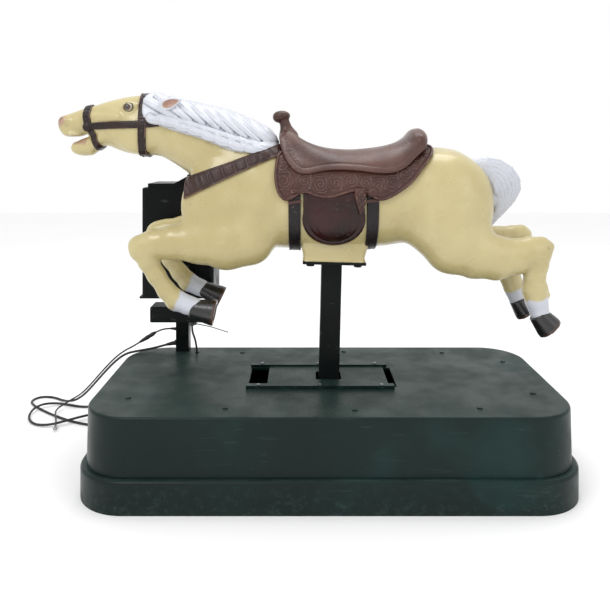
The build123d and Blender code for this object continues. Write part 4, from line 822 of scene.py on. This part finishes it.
def mane_locks():
    """Two rows of locks on one side: from the crest down and back, and from the middle line along the lower edge."""
    rows = []
    crest = [
        (-478, 968), (-452, 982), (-418, 986), (-384, 984), (-350, 976), (-316, 962), (-282, 950), (-248, 940),
        (-214, 928), (-180, 910), (-152, 886),
    ]
    middle = [
        (-440, 932), (-404, 926), (-368, 918), (-330, 906), (-294, 894), (-258, 884), (-224, 874), (-192, 866),
        (-164, 860), (-146, 856), (-134, 850),
    ]
    lower = [
        (-462, 906), (-428, 898), (-392, 886), (-356, 874), (-320, 860), (-284, 846), (-248, 834), (-214, 829),
        (-182, 832), (-156, 840),
    ]
    for (ax, az), (bx, bz) in zip(crest, middle):
        rows.append((lock_points((ax, az), ((ax + bx) / 2 + 6, (az + bz) / 2 + 8), (bx + 44, bz - 12)), 14.5, 4.5))
    for i, (cx, cz) in enumerate(lower):
        ax, az = middle[i]
        bx, bz = middle[min(i + 2, len(middle) - 1)]
        rows.append((lock_points((ax - 26, az - 8), (cx - 10, cz + 4), (cx + 58, cz + 6)), 12.5, 4))
        rows.append((lock_points((ax - 4, az - 8), (cx + 24, cz + 16), (bx + 8, bz - 10)), 8.5, 3.5))
    return rows


MANE_LOCKS = mane_locks()


def mane_field(p):
    x, z = p[0], p[2]
    base = smin(NECK(p), SKULL(p), 26)
    edge = outline(p, MANE)
    d = smax(base - 9, edge, 8)
    for points, thick, thin in MANE_LOCKS:
        n = len(points) - 1
        best = np.inf
        for i, ((x0, z0), (x1, z1)) in enumerate(zip(points, points[1:])):
            ex, ez = x1 - x0, z1 - z0
            length = math.hypot(ex, ez)
            t = np.clip(((x - x0) * ex + (z - z0) * ez) / length**2, 0, 1)
            radius = thin + (thick - thin) * np.sin(np.pi * np.clip((i + t) / n * 0.8 + 0.18, 0, 1)) ** 0.7
            off = ((x - x0) * ez - (z - z0) * ex) / length
            near = np.sqrt((x - x0 - ex * t) ** 2 + (z - z0 - ez * t) ** 2 + ((base - 9) * 1.15) ** 2) - radius
            near = near - 0.6 * np.cos(off * 0.72)
            best = np.minimum(best, near)
        d = smin(d, best, 1.5)
    return np.maximum(d, -base - 3)


mane = make("mane_locks", mane_field, (-500, -104, 812), (-118, 4, 1006), 2.2, mirror=True)


EAR = (-414, 958)
EAR_LEAN = (0.93, 0.34)
EAR_REACH = 31


def ear_lines(x, z):
    """The distances along and across an ear, and how wide it is there for its middle."""
    dx, dz = x - EAR[0], z - EAR[1]
    u = dx * EAR_LEAN[0] + dz * EAR_LEAN[1]
    return u, dz * EAR_LEAN[0] - dx * EAR_LEAN[1], np.clip(1.05 - 0.45 * u / EAR_REACH, 0.25, 1.3)


def ear_field(p):
    u, w, wide = ear_lines(p[0], p[2])
    side = np.abs(p[1]) - 64
    leaf = np.sqrt((u / EAR_REACH) ** 2 + (w / (15.5 * wide)) ** 2 + ((side + 3) / 10) ** 2)
    cup = np.sqrt(((u - 1) / 25) ** 2 + ((w + 0.5) / 10.5) ** 2 + ((side - 8) / 9) ** 2)
    return smax((leaf - 1) * 9, -(cup - 1) * 8, 2.5)


ears = make("ears", ear_field, (-452, -80, 930), (-376, -50, 986), 1.5, mirror=True)
v = vertices_of(ears)
u, w, wide = ear_lines(v[:, 0], v[:, 2])
inner = ramp(-np.sqrt(((u - 2) / 22) ** 2 + (w / (9.5 * wide)) ** 2), -1.1, -0.85)
set_mask(ears, "pink", inner * (np.abs(v[:, 1]) > 60))
set_mask(ears, "sock", 1 - inner)
set_mask(ears, "dark", np.zeros(len(v)))

TAIL_CENTRE = (438, 716)
TAIL_OUTER = [
    (404, 800), (436, 806), (470, 800), (500, 782), (518, 756), (521, 730), (508, 702), (486, 674),
    (464, 652), (449, 634),
]


# how far out each layer of hair reaches, and how far it spreads to the sides
TAIL_LAYERS = [(1.0, 0), (0.9, 9), (0.78, 16), (0.64, 21), (0.5, 24), (0.36, 25), (0.22, 25)]


def tail_locks():
    """Nested arcs of hair, the outer ones nearest the middle plane."""
    rows = []
    for reach, spread in TAIL_LAYERS:
        for side in (-1, 1) if spread else (1,):
            line = []
            for i, (px, pz) in enumerate(TAIL_OUTER):
                t = i / (len(TAIL_OUTER) - 1)
                fold = math.sin(math.pi * min(t * 1.15, 1))
                keep = reach + (1 - reach) * (1 - fold) * 0.7
                line.append(
                    (
                        TAIL_CENTRE[0] + (px - TAIL_CENTRE[0]) * keep,
                        side * spread * (0.35 + 0.65 * fold) * (1 - 0.55 * t),
                        TAIL_CENTRE[1] + (pz - TAIL_CENTRE[1]) * keep,
                    )
                )
            rows.append(line)
    return rows


TAIL_LOCKS = tail_locks()


def tail_field(p):
    x, z = p[0], p[2]
    d = blob(p, (452, 0, 735), (44, 22, 58))
    for line in TAIL_LOCKS:
        n = len(line) - 1
        best = np.inf
        for i, (a, b) in enumerate(zip(line, line[1:])):
            part = capsule(p, a, b, 11.5 - 7.0 * (i / n) ** 1.6, 11.5 - 7.0 * ((i + 1) / n) ** 1.6)
            best = np.minimum(best, part)
        d = smin(d, best, 2.5)
    rho = np.sqrt((x - TAIL_CENTRE[0]) ** 2 + (z - TAIL_CENTRE[1]) ** 2)
    return d - 0.55 * np.cos(rho * 1.3)


tail = make("tail_hair", tail_field, (392, -40, 620), (540, 40, 822), 2.3)


# ---------------------------------------------------------------- belly block under the horse
LEAN = math.radians(1.43)


def pad_field(p):
    x, y, z = p
    up = (x - 13.5) * math.sin(LEAN) + (z - 541) * math.cos(LEAN)
    along = (x - 13.5) * math.cos(LEAN) - (z - 541) * math.sin(LEAN) - 4
    flare = 8 * ramp(up, 4, 50) + 3.5 * np.exp(-((up / 7) ** 2))
    a = np.abs(along) - (80 + flare - 12)
    b = np.abs(y) - (69 + flare - 12)
    wall = np.sqrt(np.maximum(a, 0) ** 2 + np.maximum(b, 0) ** 2) + np.minimum(np.maximum(a, b), 0) - 12
    d = smax(wall, -up + 0.2, 3)
    return np.maximum(smax(d, up - 60, 4), -(TRUNK(p) + 3))


pad = make("belly_block", pad_field, (-92, -96, 530), (120, 96, 612), 2.6)


# ---------------------------------------------------------------- cord ends
def lathe(name, start, direction, profile, turns=28):
    """A turned piece: profile holds distance along the axis and radius, in millimetres."""
    axis = Vector(direction).normalized()
    u = axis.orthogonal().normalized()
    w = axis.cross(u)
    verts = []
    for along, radius in profile:
        for j in range(turns):
            t = 2 * math.pi * j / turns
            spot = Vector(start) + axis * along + (u * math.cos(t) + w * math.sin(t)) * radius
            verts.append(tuple(spot))
    return add_mesh(name, verts, ring_faces(0, len(profile), turns) + end_faces(len(profile), turns))


RELIEF_PROFILE = [(0, 8.2), (1.5, 8.8), (3.5, 8.8), (4, 6.8)]
for rib in range(6):
    place, ridge = 4 * rib, 6.6 - rib * 0.42
    RELIEF_PROFILE += [(6 + place, ridge), (8.6 + place, ridge), (9.2 + place, 5.2 - rib * 0.3)]
RELIEF_PROFILE += [(31, 4.1), (32, 3.9)]
SMALL_PROFILE = [(along * 0.62, radius * 0.76) for along, radius in RELIEF_PROFILE]
mains_relief = lathe("mains_strain_relief", (-456.2, 242, 240), (-0.975, -0.03, -0.2), RELIEF_PROFILE)
lead_relief = lathe("lead_grommet", (-456.2, 250, 280), (-0.998, -0.04, 0.06), SMALL_PROFILE)


def plug_field(p):
    x, y, z = p
    s = x - PLUG_X
    wide = np.abs(y - PLUG_Y) - 13.5 + 0.12 * (50 - s) * (s < 50)
    body = np.maximum(np.abs(s - 46) - 15.5, np.maximum(wide, np.abs(z - PLUG_Z) - 12))
    body = smax(body, np.hypot((y - PLUG_Y) * 0.8, z - PLUG_Z) - 14, 5)
    neck = np.hypot(y - PLUG_Y, z - PLUG_Z) - (5.0 + 4 * ramp(s, 18, 34)) + 0.9 * (np.cos(s * 1.5) > 0.3) * (s < 26)
    neck = np.maximum(neck, np.abs(s - 19) - 17)
    d = smin(body, neck, 5)
    d = smax(d, -(np.abs(np.abs(z - PLUG_Z) - 12.6) - 0.6 + np.maximum(np.abs(s - 46) - 10, 0)), 1)
    for blade in (-6.5, 6.5):
        face = np.maximum(np.abs(z - PLUG_Z - 4) - 3, np.abs(s - 69) - 9.5)
        d = np.minimum(d, np.maximum(np.abs(y - PLUG_Y - blade) - 0.85, face))
    pin = np.maximum(np.hypot(y - PLUG_Y, z - PLUG_Z + 6) - 2.4, np.abs(s - 70) - 11.5)
    return np.minimum(d, pin)


plug = make("mains_plug", plug_field, (PLUG_X - 1, PLUG_Y - 17, -1), (PLUG_X + 84, PLUG_Y + 17, 29), 1.1)
v = vertices_of(plug)
set_mask(plug, "metal", (v[:, 0] > PLUG_X + 62) * 1.0)

CONNECTOR_START = (-520, 240.6, 272)
CONNECTOR_END = (-566, 224.3, 246)
span = Vector(CONNECTOR_END) - Vector(CONNECTOR_START)
PROFILE = [
    (0, 3.0), (1.5, 4.6), (7, 5.0), (8, 6.1), (20, 6.3), (21, 5.4), (23, 5.4), (24, 6.4), (33, 6.4),
    (35, 6.0), (36.5, 5.6), (44, 5.0),
]
connector = lathe("lead_connector_shell", CONNECTOR_START, span, PROFILE + [(span.length, 3.2)])


def ring_terminal():
    """A crimped ring terminal: a barrel that flattens into a ring."""
    start, end = np.array([-810.0, 192.0, 14.0]), np.array([-803.0, 168.0, 10.0])
    axis = (end - start) / np.linalg.norm(end - start)
    across = np.array([-axis[1], axis[0], 0])
    across /= np.linalg.norm(across)
    up = np.cross(across, axis)
    verts = []
    stations = [(14, 3.1, 3.1), (16, 3.4, 3.4), (22, 3.5, 3.0), (25, 3.6, 2.2), (28, 3.6, 1.0), (31, 4.2, 0.75)]
    turns = 20
    for along, wide, thick in stations:
        for j in range(turns):
            t = 2 * math.pi * j / turns
            verts.append(start + axis * along + across * wide * math.cos(t) + up * thick * math.sin(t))
    faces = ring_faces(0, len(stations), turns) + end_faces(len(stations), turns)
    centre = start + axis * 36
    base = len(verts)
    turns = 36
    for radius, lift in ((6.2, -0.75), (6.2, 0.75), (3.2, 0.75), (3.2, -0.75)):
        for j in range(turns):
            t = 2 * math.pi * j / turns
            verts.append(centre + axis * radius * math.cos(t) + across * radius * math.sin(t) + up * lift)
    for ring in range(4):
        for j in range(turns):
            a = base + ring * turns + j
            b = base + ring * turns + (j + 1) % turns
            c = base + (ring + 1) % 4 * turns + (j + 1) % turns
            d = base + (ring + 1) % 4 * turns + j
            faces.append((a, b, c, d))
    return add_mesh("lead_ring_terminal", verts, faces)


terminal = ring_terminal()


# ---------------------------------------------------------------- materials
class Graph:
    """A material's nodes, with short calls for the ones used here."""

    def __init__(self, name):
        self.material = bpy.data.materials.new(name)
        self.material.use_nodes = True
        self.nodes = self.material.node_tree.nodes
        self.links = self.material.node_tree.links
        self.shader = self.nodes["Principled BSDF"]
        self.place = self.nodes.new("ShaderNodeTexCoord").outputs["Object"]

    def link(self, value, socket):
        if isinstance(value, (int, float)):
            socket.default_value = value
        elif isinstance(value, tuple):
            socket.default_value = value if len(value) == 4 else (*value, 1.0)
        else:
            self.links.new(value, socket)

    def scaled(self, scale):
        node = self.nodes.new("ShaderNodeMapping")
        node.inputs["Scale"].default_value = scale
        self.links.new(self.place, node.inputs["Vector"])
        return node.outputs["Vector"]

    def noise(self, scale, detail=4.0, rough=0.55, vector=None):
        node = self.nodes.new("ShaderNodeTexNoise")
        self.links.new(vector or self.place, node.inputs["Vector"])
        node.inputs["Scale"].default_value = scale
        node.inputs["Detail"].default_value = detail
        node.inputs["Roughness"].default_value = rough
        return node.outputs["Fac"]

    def cells(self, scale):
        node = self.nodes.new("ShaderNodeTexVoronoi")
        self.links.new(self.place, node.inputs["Vector"])
        node.inputs["Scale"].default_value = scale
        return node.outputs["Distance"]

    def math(self, kind, a, b=0.0):
        node = self.nodes.new("ShaderNodeMath")
        node.operation = kind
        self.link(a, node.inputs[0])
        self.link(b, node.inputs[1])
        return node.outputs[0]

    def times(self, a, b):
        return self.math("MULTIPLY", a, b)

    def range(self, value, low, high, to_low=0.0, to_high=1.0):
        node = self.nodes.new("ShaderNodeMapRange")
        node.interpolation_type = "SMOOTHSTEP"
        self.link(value, node.inputs["Value"])
        node.inputs["From Min"].default_value = low
        node.inputs["From Max"].default_value = high
        node.inputs["To Min"].default_value = to_low
        node.inputs["To Max"].default_value = to_high
        return node.outputs["Result"]

    def mix(self, share, a, b):
        node = self.nodes.new("ShaderNodeMix")
        node.data_type = "RGBA"
        self.link(share, node.inputs[0])
        self.link(a, node.inputs[6])
        self.link(b, node.inputs[7])
        return node.outputs[2]

    def mask(self, name):
        node = self.nodes.new("ShaderNodeAttribute")
        node.attribute_name = name
        return node.outputs["Fac"]

    def axis(self, index):
        node = self.nodes.new("ShaderNodeSeparateXYZ")
        self.links.new(self.place, node.inputs[0])
        return node.outputs[index]

    def facing_up(self):
        normal = self.nodes.new("ShaderNodeTexCoord").outputs["Normal"]
        node = self.nodes.new("ShaderNodeSeparateXYZ")
        self.links.new(normal, node.inputs[0])
        return node.outputs[2]

    def edges(self):
        node = self.nodes.new("ShaderNodeNewGeometry")
        return node.outputs["Pointiness"]

    def finish(self, colour, roughness, bumps=(), metallic=0.0, coat=0.0, coat_rough=0.1, specular=0.5):
        shader = self.shader
        self.link(colour, shader.inputs["Base Color"])
        self.link(roughness, shader.inputs["Roughness"])
        self.link(metallic, shader.inputs["Metallic"])
        shader.inputs["Coat Weight"].default_value = coat
        shader.inputs["Coat Roughness"].default_value = coat_rough
        shader.inputs["Specular IOR Level"].default_value = specular
        normal = None
        for height, distance, strength in bumps:
            node = self.nodes.new("ShaderNodeBump")
            node.inputs["Strength"].default_value = strength
            node.inputs["Distance"].default_value = distance
            self.link(height, node.inputs["Height"])
            if normal is not None:
                self.links.new(normal, node.inputs["Normal"])
            normal = node.outputs["Normal"]
        if normal is not None:
            self.links.new(normal, shader.inputs["Normal"])
        return self.material


SHADE = 0.84


def rgb(red, green, blue):
    """A colour given as 0 to 255 display values, darkened a little for the bright studio."""
    def line(c):
        c /= 255
        return c / 12.92 if c <= 0.04045 else ((c + 0.055) / 1.055) ** 2.4

    return (*(SHADE * line(c) for c in (red, green, blue)), 1.0)


def horse_paint(name):
    g = Graph(name)
    blotch = g.range(g.noise(5.0, 3), 0.38, 0.66)
    colour = g.mix(blotch, rgb(202, 188, 136), rgb(190, 175, 122))
    colour = g.mix(g.range(g.noise(14.0, 4, 0.6), 0.5, 0.75, 0, 0.5), colour, rgb(210, 197, 148))
    speck = g.times(g.range(g.noise(60.0, 2), 0.69, 0.73), g.range(g.noise(9.0, 2), 0.55, 0.62))
    colour = g.mix(g.times(speck, 0.5), colour, rgb(120, 96, 62))
    # painted shade: the cream turns olive brown in creases and recesses, where shade falls
    painted_crease_shade = g.range(g.edges(), 0.40, 0.492, 0.65, 0)
    colour = g.mix(painted_crease_shade, colour, rgb(150, 128, 74))
    # lighter cream in flecks on the ridges
    ridge_flecks = g.times(g.range(g.edges(), 0.53, 0.58), g.range(g.noise(40.0, 3), 0.5, 0.6))
    colour = g.mix(ridge_flecks, colour, rgb(243, 236, 200))
    white = g.mix(g.noise(22.0, 3), rgb(196, 200, 210), rgb(218, 220, 228))
    colour = g.mix(g.mask("sock"), colour, white)
    pink = g.mix(g.noise(45.0, 3), rgb(150, 108, 96), rgb(190, 150, 130))
    colour = g.mix(g.mask("pink"), colour, pink)
    colour = g.mix(g.mask("dark"), colour, rgb(92, 76, 48))
    rough = g.range(g.noise(18.0, 3), 0.3, 0.7, 0.24, 0.4)
    bumps = [(g.noise(70.0, 3), 0.002, 0.12), (g.noise(11.0, 3), 0.008, 0.16)]
    return g.finish(colour, rough, bumps, coat=0.35, coat_rough=0.12)


def hair_paint(name):
    g = Graph(name)
    stretch = g.scaled((0.35, 1.0, 1.0))
    strands = g.noise(260.0, 2, 0.5, stretch)
    # painted shade: the white turns blue grey in the grooves between the locks
    hollow_painted_shade = g.range(g.edges(), 0.41, 0.5, 0.95, 0)
    colour = g.mix(g.noise(9.0, 3), rgb(196, 200, 210), rgb(216, 218, 226))
    colour = g.mix(hollow_painted_shade, colour, rgb(104, 114, 136))
    colour = g.mix(g.range(g.noise(24.0, 4), 0.58, 0.72, 0, 0.35), colour, rgb(160, 166, 180))
    rough = g.range(g.noise(30.0, 3), 0.3, 0.7, 0.26, 0.42)
    bumps = [(strands, 0.0016, 0.32), (g.noise(14.0, 2), 0.004, 0.12)]
    return g.finish(colour, rough, bumps, coat=0.3, coat_rough=0.15)


def leather(name, light, dark, gloss=0.34, carved=False):
    g = Graph(name)
    tone = g.range(g.noise(8.0, 4, 0.6), 0.35, 0.68)
    colour = g.mix(tone, light, dark)
    # painted shade: the leather turns near black in recesses, most strongly in the carved work
    hollow_painted_shade = g.range(g.edges(), 0.40, 0.495, 0.92 if carved else 0.7, 0)
    colour = g.mix(hollow_painted_shade, colour, rgb(28, 16, 12))
    ridge = g.times(g.range(g.edges(), 0.515, 0.575), g.range(g.noise(55.0, 3), 0.36, 0.6))
    colour = g.mix(ridge, colour, rgb(134, 102, 90) if carved else light)
    scuff = g.times(g.range(g.noise(130.0, 3, 0.7), 0.6, 0.68), g.range(g.noise(16.0, 2), 0.5, 0.62))
    colour = g.mix(g.times(scuff, 0.5), colour, rgb(126, 102, 92))
    rough = g.range(g.noise(20.0, 4), 0.3, 0.7, gloss - 0.07, gloss + 0.12)
    bumps = [(g.cells(420.0), 0.0008, 0.28), (g.noise(60.0, 4), 0.0016, 0.22)]
    return g.finish(colour, rough, bumps, coat=0.08, coat_rough=0.25, specular=0.32)


def painted_metal(name, base, chip, under, gloss=0.35, wear=0.5):
    g = Graph(name)
    colour = g.mix(g.range(g.noise(4.0, 4), 0.35, 0.68), base, chip)
    grime = g.range(g.noise(26.0, 5, 0.65), 0.56, 0.74, 0, 0.5)
    colour = g.mix(grime, colour, rgb(20, 22, 21))
    edge = g.times(g.range(g.edges(), 0.54, 0.62, 0, 0.5),
                  g.range(g.noise(70.0, 4, 0.7), 0.66 - 0.2 * wear, 0.74 - 0.2 * wear))
    colour = g.mix(edge, colour, under)
    scratch = g.noise(180.0, 2, 0.5, g.scaled((0.12, 1.0, 0.4)))
    marks = g.times(g.range(scratch, 0.66, 0.7), g.range(g.noise(7.0, 2), 0.5, 0.6))
    colour = g.mix(g.times(marks, 0.7), colour, under)
    rough = g.range(g.noise(16.0, 4), 0.3, 0.7, gloss - 0.08, gloss + 0.14)
    return g.finish(colour, rough, [(g.noise(220.0, 3), 0.0006, 0.2), (scratch, 0.0006, 0.12)], specular=0.12)


def bare_metal(name, light, dark, rough_mid=0.36):
    g = Graph(name)
    colour = g.mix(g.noise(30.0, 4, 0.6), light, dark)
    stain = g.range(g.noise(12.0, 5, 0.7), 0.56, 0.72, 0, 0.55)
    colour = g.mix(stain, colour, rgb(96, 88, 78))
    rough = g.range(g.noise(60.0, 4), 0.25, 0.75, rough_mid - 0.1, rough_mid + 0.16)
    brushed = g.noise(300.0, 2, 0.5, g.scaled((0.08, 1.0, 1.0)))
    return g.finish(colour, rough, [(brushed, 0.0004, 0.18), (g.noise(90.0, 3), 0.0006, 0.15)], metallic=1.0)


def plastic(name, light, dark, gloss=0.4, grain=500.0, coat=0.0):
    g = Graph(name)
    colour = g.mix(g.range(g.noise(18.0, 4), 0.35, 0.7), light, dark)
    dust = g.range(g.noise(90.0, 4, 0.7), 0.6, 0.78, 0, 0.3)
    colour = g.mix(dust, colour, rgb(120, 118, 112))
    rough = g.range(g.noise(26.0, 3), 0.3, 0.7, gloss - 0.06, gloss + 0.12)
    return g.finish(colour, rough, [(g.noise(grain, 2), 0.0005, 0.25)], coat=coat)


def deck_paint(name):
    """Green paint, rough with wear, with a diamond tread where it faces up; the top is painted lighter and the walls
    darker, as painted light and shade.
    """
    g = Graph(name)
    up = g.range(g.facing_up(), 0.8, 0.95)
    # painted light and shade: the up-facing top gets a lighter green and the walls a darker green of the same paint
    lit_deck_tone = g.mix(g.range(g.noise(5.0, 5, 0.65), 0.3, 0.7), rgb(24, 44, 40), rgb(40, 62, 57))
    wall = g.mix(g.range(g.noise(3.0, 4), 0.35, 0.68), rgb(9, 28, 26), rgb(15, 36, 33))
    colour = g.mix(up, wall, lit_deck_tone)
    # painted sheen: blue-green patches placed at random stand in for highlights on the glossy green paint
    teal_painted_sheen = g.times(g.range(g.noise(3.4, 3), 0.56, 0.7), 0.35)
    colour = g.mix(teal_painted_sheen, colour, rgb(24, 62, 60))
    x, y = g.axis(0), g.axis(1)
    pitch = 2 * math.pi / 0.0085
    first = g.math("SINE", g.times(g.math("ADD", x, g.times(y, 1.7)), pitch))
    second = g.math("SINE", g.times(g.math("SUBTRACT", x, g.times(y, 1.7)), pitch))
    tread = g.times(g.range(g.times(first, second), 0.05, 0.6), up)
    polished = g.times(tread, g.range(g.noise(9.0, 4), 0.4, 0.66))
    colour = g.mix(g.times(polished, 0.3), colour, rgb(104, 126, 120))
    scrape = g.noise(150.0, 3, 0.6, g.scaled((0.07, 1.0, 1.0)))
    scrape = g.times(g.range(scrape, 0.6, 0.66), g.range(g.noise(6.0, 3), 0.5, 0.6))
    colour = g.mix(g.times(scrape, 0.12), colour, rgb(84, 104, 100))
    edge = g.times(g.range(g.edges(), 0.52, 0.6, 0, 0.5), g.range(g.noise(60.0, 4, 0.7), 0.5, 0.66))
    colour = g.mix(g.times(edge, 0.5), colour, rgb(70, 96, 90))
    low = g.range(g.axis(2), 0.0, 0.03, 0.3, 0)
    colour = g.mix(g.times(low, g.noise(9.0, 3)), colour, rgb(46, 54, 50))
    rough = g.range(g.noise(12.0, 4), 0.3, 0.7, 0.3, 0.5)
    return g.finish(colour, rough, [(tread, 0.0022, 0.7), (g.noise(120.0, 3), 0.0008, 0.25)], specular=0.2)


def eye_paint(name):
    g = Graph(name)
    angle = g.mask("iris")
    rays = g.noise(300.0, 3)
    iris = g.mix(rays, rgb(58, 34, 18), rgb(104, 66, 34))
    colour = g.mix(g.range(angle, 0.42, 0.5), rgb(6, 5, 5), iris)
    colour = g.mix(g.range(angle, 0.82, 0.92), colour, rgb(196, 188, 170))
    return g.finish(colour, 0.06, [(g.noise(40.0, 2), 0.0003, 0.1)], coat=1.0, coat_rough=0.02)


def hoof_paint(name):
    g = Graph(name)
    black = g.mix(g.noise(24.0, 4), rgb(10, 10, 11), rgb(30, 29, 29))
    chip = g.times(g.range(g.edges(), 0.53, 0.6), g.range(g.noise(60.0, 4), 0.52, 0.6))
    black = g.mix(chip, black, rgb(120, 110, 96))
    brown = g.mix(g.noise(50.0, 4), rgb(56, 36, 26), rgb(88, 60, 44))
    colour = g.mix(g.mask("shoe"), black, brown)
    rough = g.range(g.noise(20.0, 3), 0.3, 0.7, 0.22, 0.42)
    return g.finish(colour, rough, [(g.noise(90.0, 3), 0.0012, 0.25)], coat=0.4, coat_rough=0.15)


def plug_paint(name):
    g = Graph(name)
    metal = g.mask("metal")
    colour = g.mix(metal, g.mix(g.noise(80.0, 3), rgb(18, 18, 19), rgb(34, 34, 36)), rgb(196, 178, 128))
    return g.finish(colour, g.range(metal, 0, 1, 0.5, 0.25), [(g.noise(500.0, 2), 0.0004, 0.2)], metallic=metal)


cream = horse_paint("horse_cream_paint")
hair = hair_paint("mane_white_paint")
saddle_leather = leather("saddle_seat_finish", rgb(100, 70, 62), rgb(72, 48, 42), 0.3)
carved_leather = leather("saddle_carved_finish", rgb(86, 52, 44), rgb(60, 34, 30), 0.34, carved=True)
fender_leather = leather("saddle_fender_finish", rgb(56, 20, 18), rgb(32, 12, 11), 0.28)
strap_leather = leather("strap_finish", rgb(68, 42, 36), rgb(42, 26, 23), 0.36, carved=True)
dark_leather = leather("girth_finish", rgb(32, 23, 24), rgb(20, 15, 16), 0.38)
bridle_leather = leather("bridle_finish", rgb(46, 29, 25), rgb(28, 18, 16), 0.34, carved=True)
pad_paint = horse_paint("belly_block_paint")
cord_rubber = plastic("cord_rubber", rgb(16, 16, 17), rgb(34, 34, 36), 0.42, 700.0)

FINISHES = {
    "green_shell": deck_paint("green_deck_paint"),
    "black_steel": painted_metal("black_green_paint", rgb(10, 14, 14), rgb(16, 22, 21), rgb(70, 80, 76), 0.3, 0.3),
    "zinc": bare_metal("zinc_plate", rgb(176, 178, 180), rgb(128, 132, 136), 0.34),
    "pan_steel": bare_metal("pan_steel_sheet", rgb(118, 120, 122), rgb(80, 84, 88), 0.5),
    "horse_cream": cream,
    "hoof_black": hoof_paint("hoof_black_paint"),
    "mane_white": hair,
    "eye_glass": eye_paint("eye_glass_paint"),
    "saddle_brown": saddle_leather,
    "strap_brown": strap_leather,
    "pad_yellow": pad_paint,
    "cast_grey": painted_metal("cast_iron_grey", rgb(92, 96, 98), rgb(70, 74, 78), rgb(150, 150, 148), 0.5, 0.6),
    "motor_grey": painted_metal("motor_grey_paint", rgb(58, 66, 74), rgb(44, 50, 58), rgb(140, 140, 138), 0.4, 0.5),
    "belt_rubber": plastic("belt_rubber_black", rgb(20, 20, 20), rgb(36, 35, 34), 0.62, 260.0),
    "board_green": plastic("board_green_lacquer", rgb(22, 84, 50), rgb(16, 62, 40), 0.32, 300.0, 0.4),
    "chrome_trim": bare_metal("chrome_trim_worn", rgb(214, 216, 218), rgb(168, 172, 176), 0.2),
    "button_red": plastic("button_red_gloss", rgb(168, 26, 22), rgb(132, 18, 18), 0.28, 400.0, 0.5),
    "cord_black": cord_rubber,
    "grey_plastic": plastic("grey_moulded_plastic", rgb(112, 116, 118), rgb(88, 92, 96), 0.46),
}
SLOT_OF = {entry["node"]: entry["material_slot"] for entry in frame["record"]["subparts"]}
for node, piece in frame["nodes"].items():
    piece.data.materials.clear()
    piece.data.materials.append(FINISHES[SLOT_OF[node]])


# ---------------------------------------------------------------- who stands for what
PIECES = [
    (horse, cream, "horse_cream", ROCKER, ["horse_shell"]),
    (ears, cream, "horse_cream", ROCKER, []),
    (hooves, FINISHES["hoof_black"], "hoof_black", ROCKER, ["hooves"]),
    (eyes, FINISHES["eye_glass"], "eye_glass", ROCKER, ["glass_eyes"]),
    (mane, hair, "mane_white", ROCKER, ["mane"]),
    (tail, hair, "mane_white", ROCKER, ["tail"]),
    (seat, saddle_leather, "saddle_brown", ROCKER, ["saddle_seat"]),
    (skirts, carved_leather, "saddle_brown", ROCKER, ["saddle_skirts"]),
    (fenders, fender_leather, "saddle_brown", ROCKER, ["saddle_fenders"]),
    (horn, saddle_leather, "saddle_brown", ROCKER, ["saddle_horn"]),
    (ties, carved_leather, "saddle_brown", ROCKER, []),
    (girths, dark_leather, "strap_brown", ROCKER, ["girth_straps"]),
    (collar, strap_leather, "strap_brown", ROCKER, ["breast_collar"]),
    (bridle, bridle_leather, "strap_brown", ROCKER, ["bridle"]),
    (pad, pad_paint, "pad_yellow", ROCKER, ["belly_pad"]),
    (mains_cord, cord_rubber, "cord_black", "base", ["mains_cord", "cord_coil"]),
    (lead_cord, cord_rubber, "cord_black", "base", ["lead_cord"]),
    (mains_relief, cord_rubber, "cord_black", "base", []),
    (lead_relief, cord_rubber, "cord_black", "base", []),
    (plug, plug_paint("plug_black_paint"), "cord_black", "base", ["plug"]),
    (connector, cord_rubber, "cord_black", "base", ["lead_connector"]),
    (terminal, FINISHES["zinc"], "zinc", "base", ["lead_terminal"]),
]
for piece, finish, slot, body, nodes in PIECES:
    piece.data.materials.clear()
    piece.data.materials.append(finish)
    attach(piece, body)
    if nodes:
        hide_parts(*nodes)
for name in ("sock", "pink", "dark"):
    set_mask(pad, name, np.zeros(len(pad.data.vertices)))


# ---------------------------------------------------------------- floor and light
floor = add_mesh(
    "floor", [(-6000, -3500, 0), (6000, -3500, 0), (6000, 7000, 0), (-6000, 7000, 0)], [(0, 1, 2, 3)], smooth=False
)
ground = Graph("floor_white")
ground.finish(ground.mix(ground.noise(2.0, 2), (0.93, 0.93, 0.93), (0.96, 0.96, 0.96)), 0.8, specular=0.1)
floor.data.materials.append(ground.material)

world = bpy.data.worlds.new("studio")
bpy.context.scene.world = world
world.use_nodes = True
sky = world.node_tree.nodes["Background"]
sky.inputs["Color"].default_value = (1.0, 1.0, 1.0, 1)
sky.inputs["Strength"].default_value = 1.0


def lamp(name, place, aim, size, power):
    data = bpy.data.lights.new(name, "AREA")
    data.shape = "RECTANGLE"
    data.size, data.size_y = size
    data.energy = power
    light = bpy.data.objects.new(name, data)
    bpy.context.scene.collection.objects.link(light)
    light.location = place
    light.rotation_euler = (Vector(aim) - Vector(place)).to_track_quat("-Z", "Y").to_euler()


lamp("key", (-1.4, -2.2, 2.9), (0, 0, 0.6), (1.6, 1.2), 32)
lamp("fill", (2.4, -2.0, 1.8), (0, 0, 0.6), (1.6, 1.6), 6)
lamp("top", (0.2, 0.6, 3.2), (0, 0, 0.5), (2.2, 1.4), 30)
bpy.context.scene.view_settings.view_transform = "Standard"
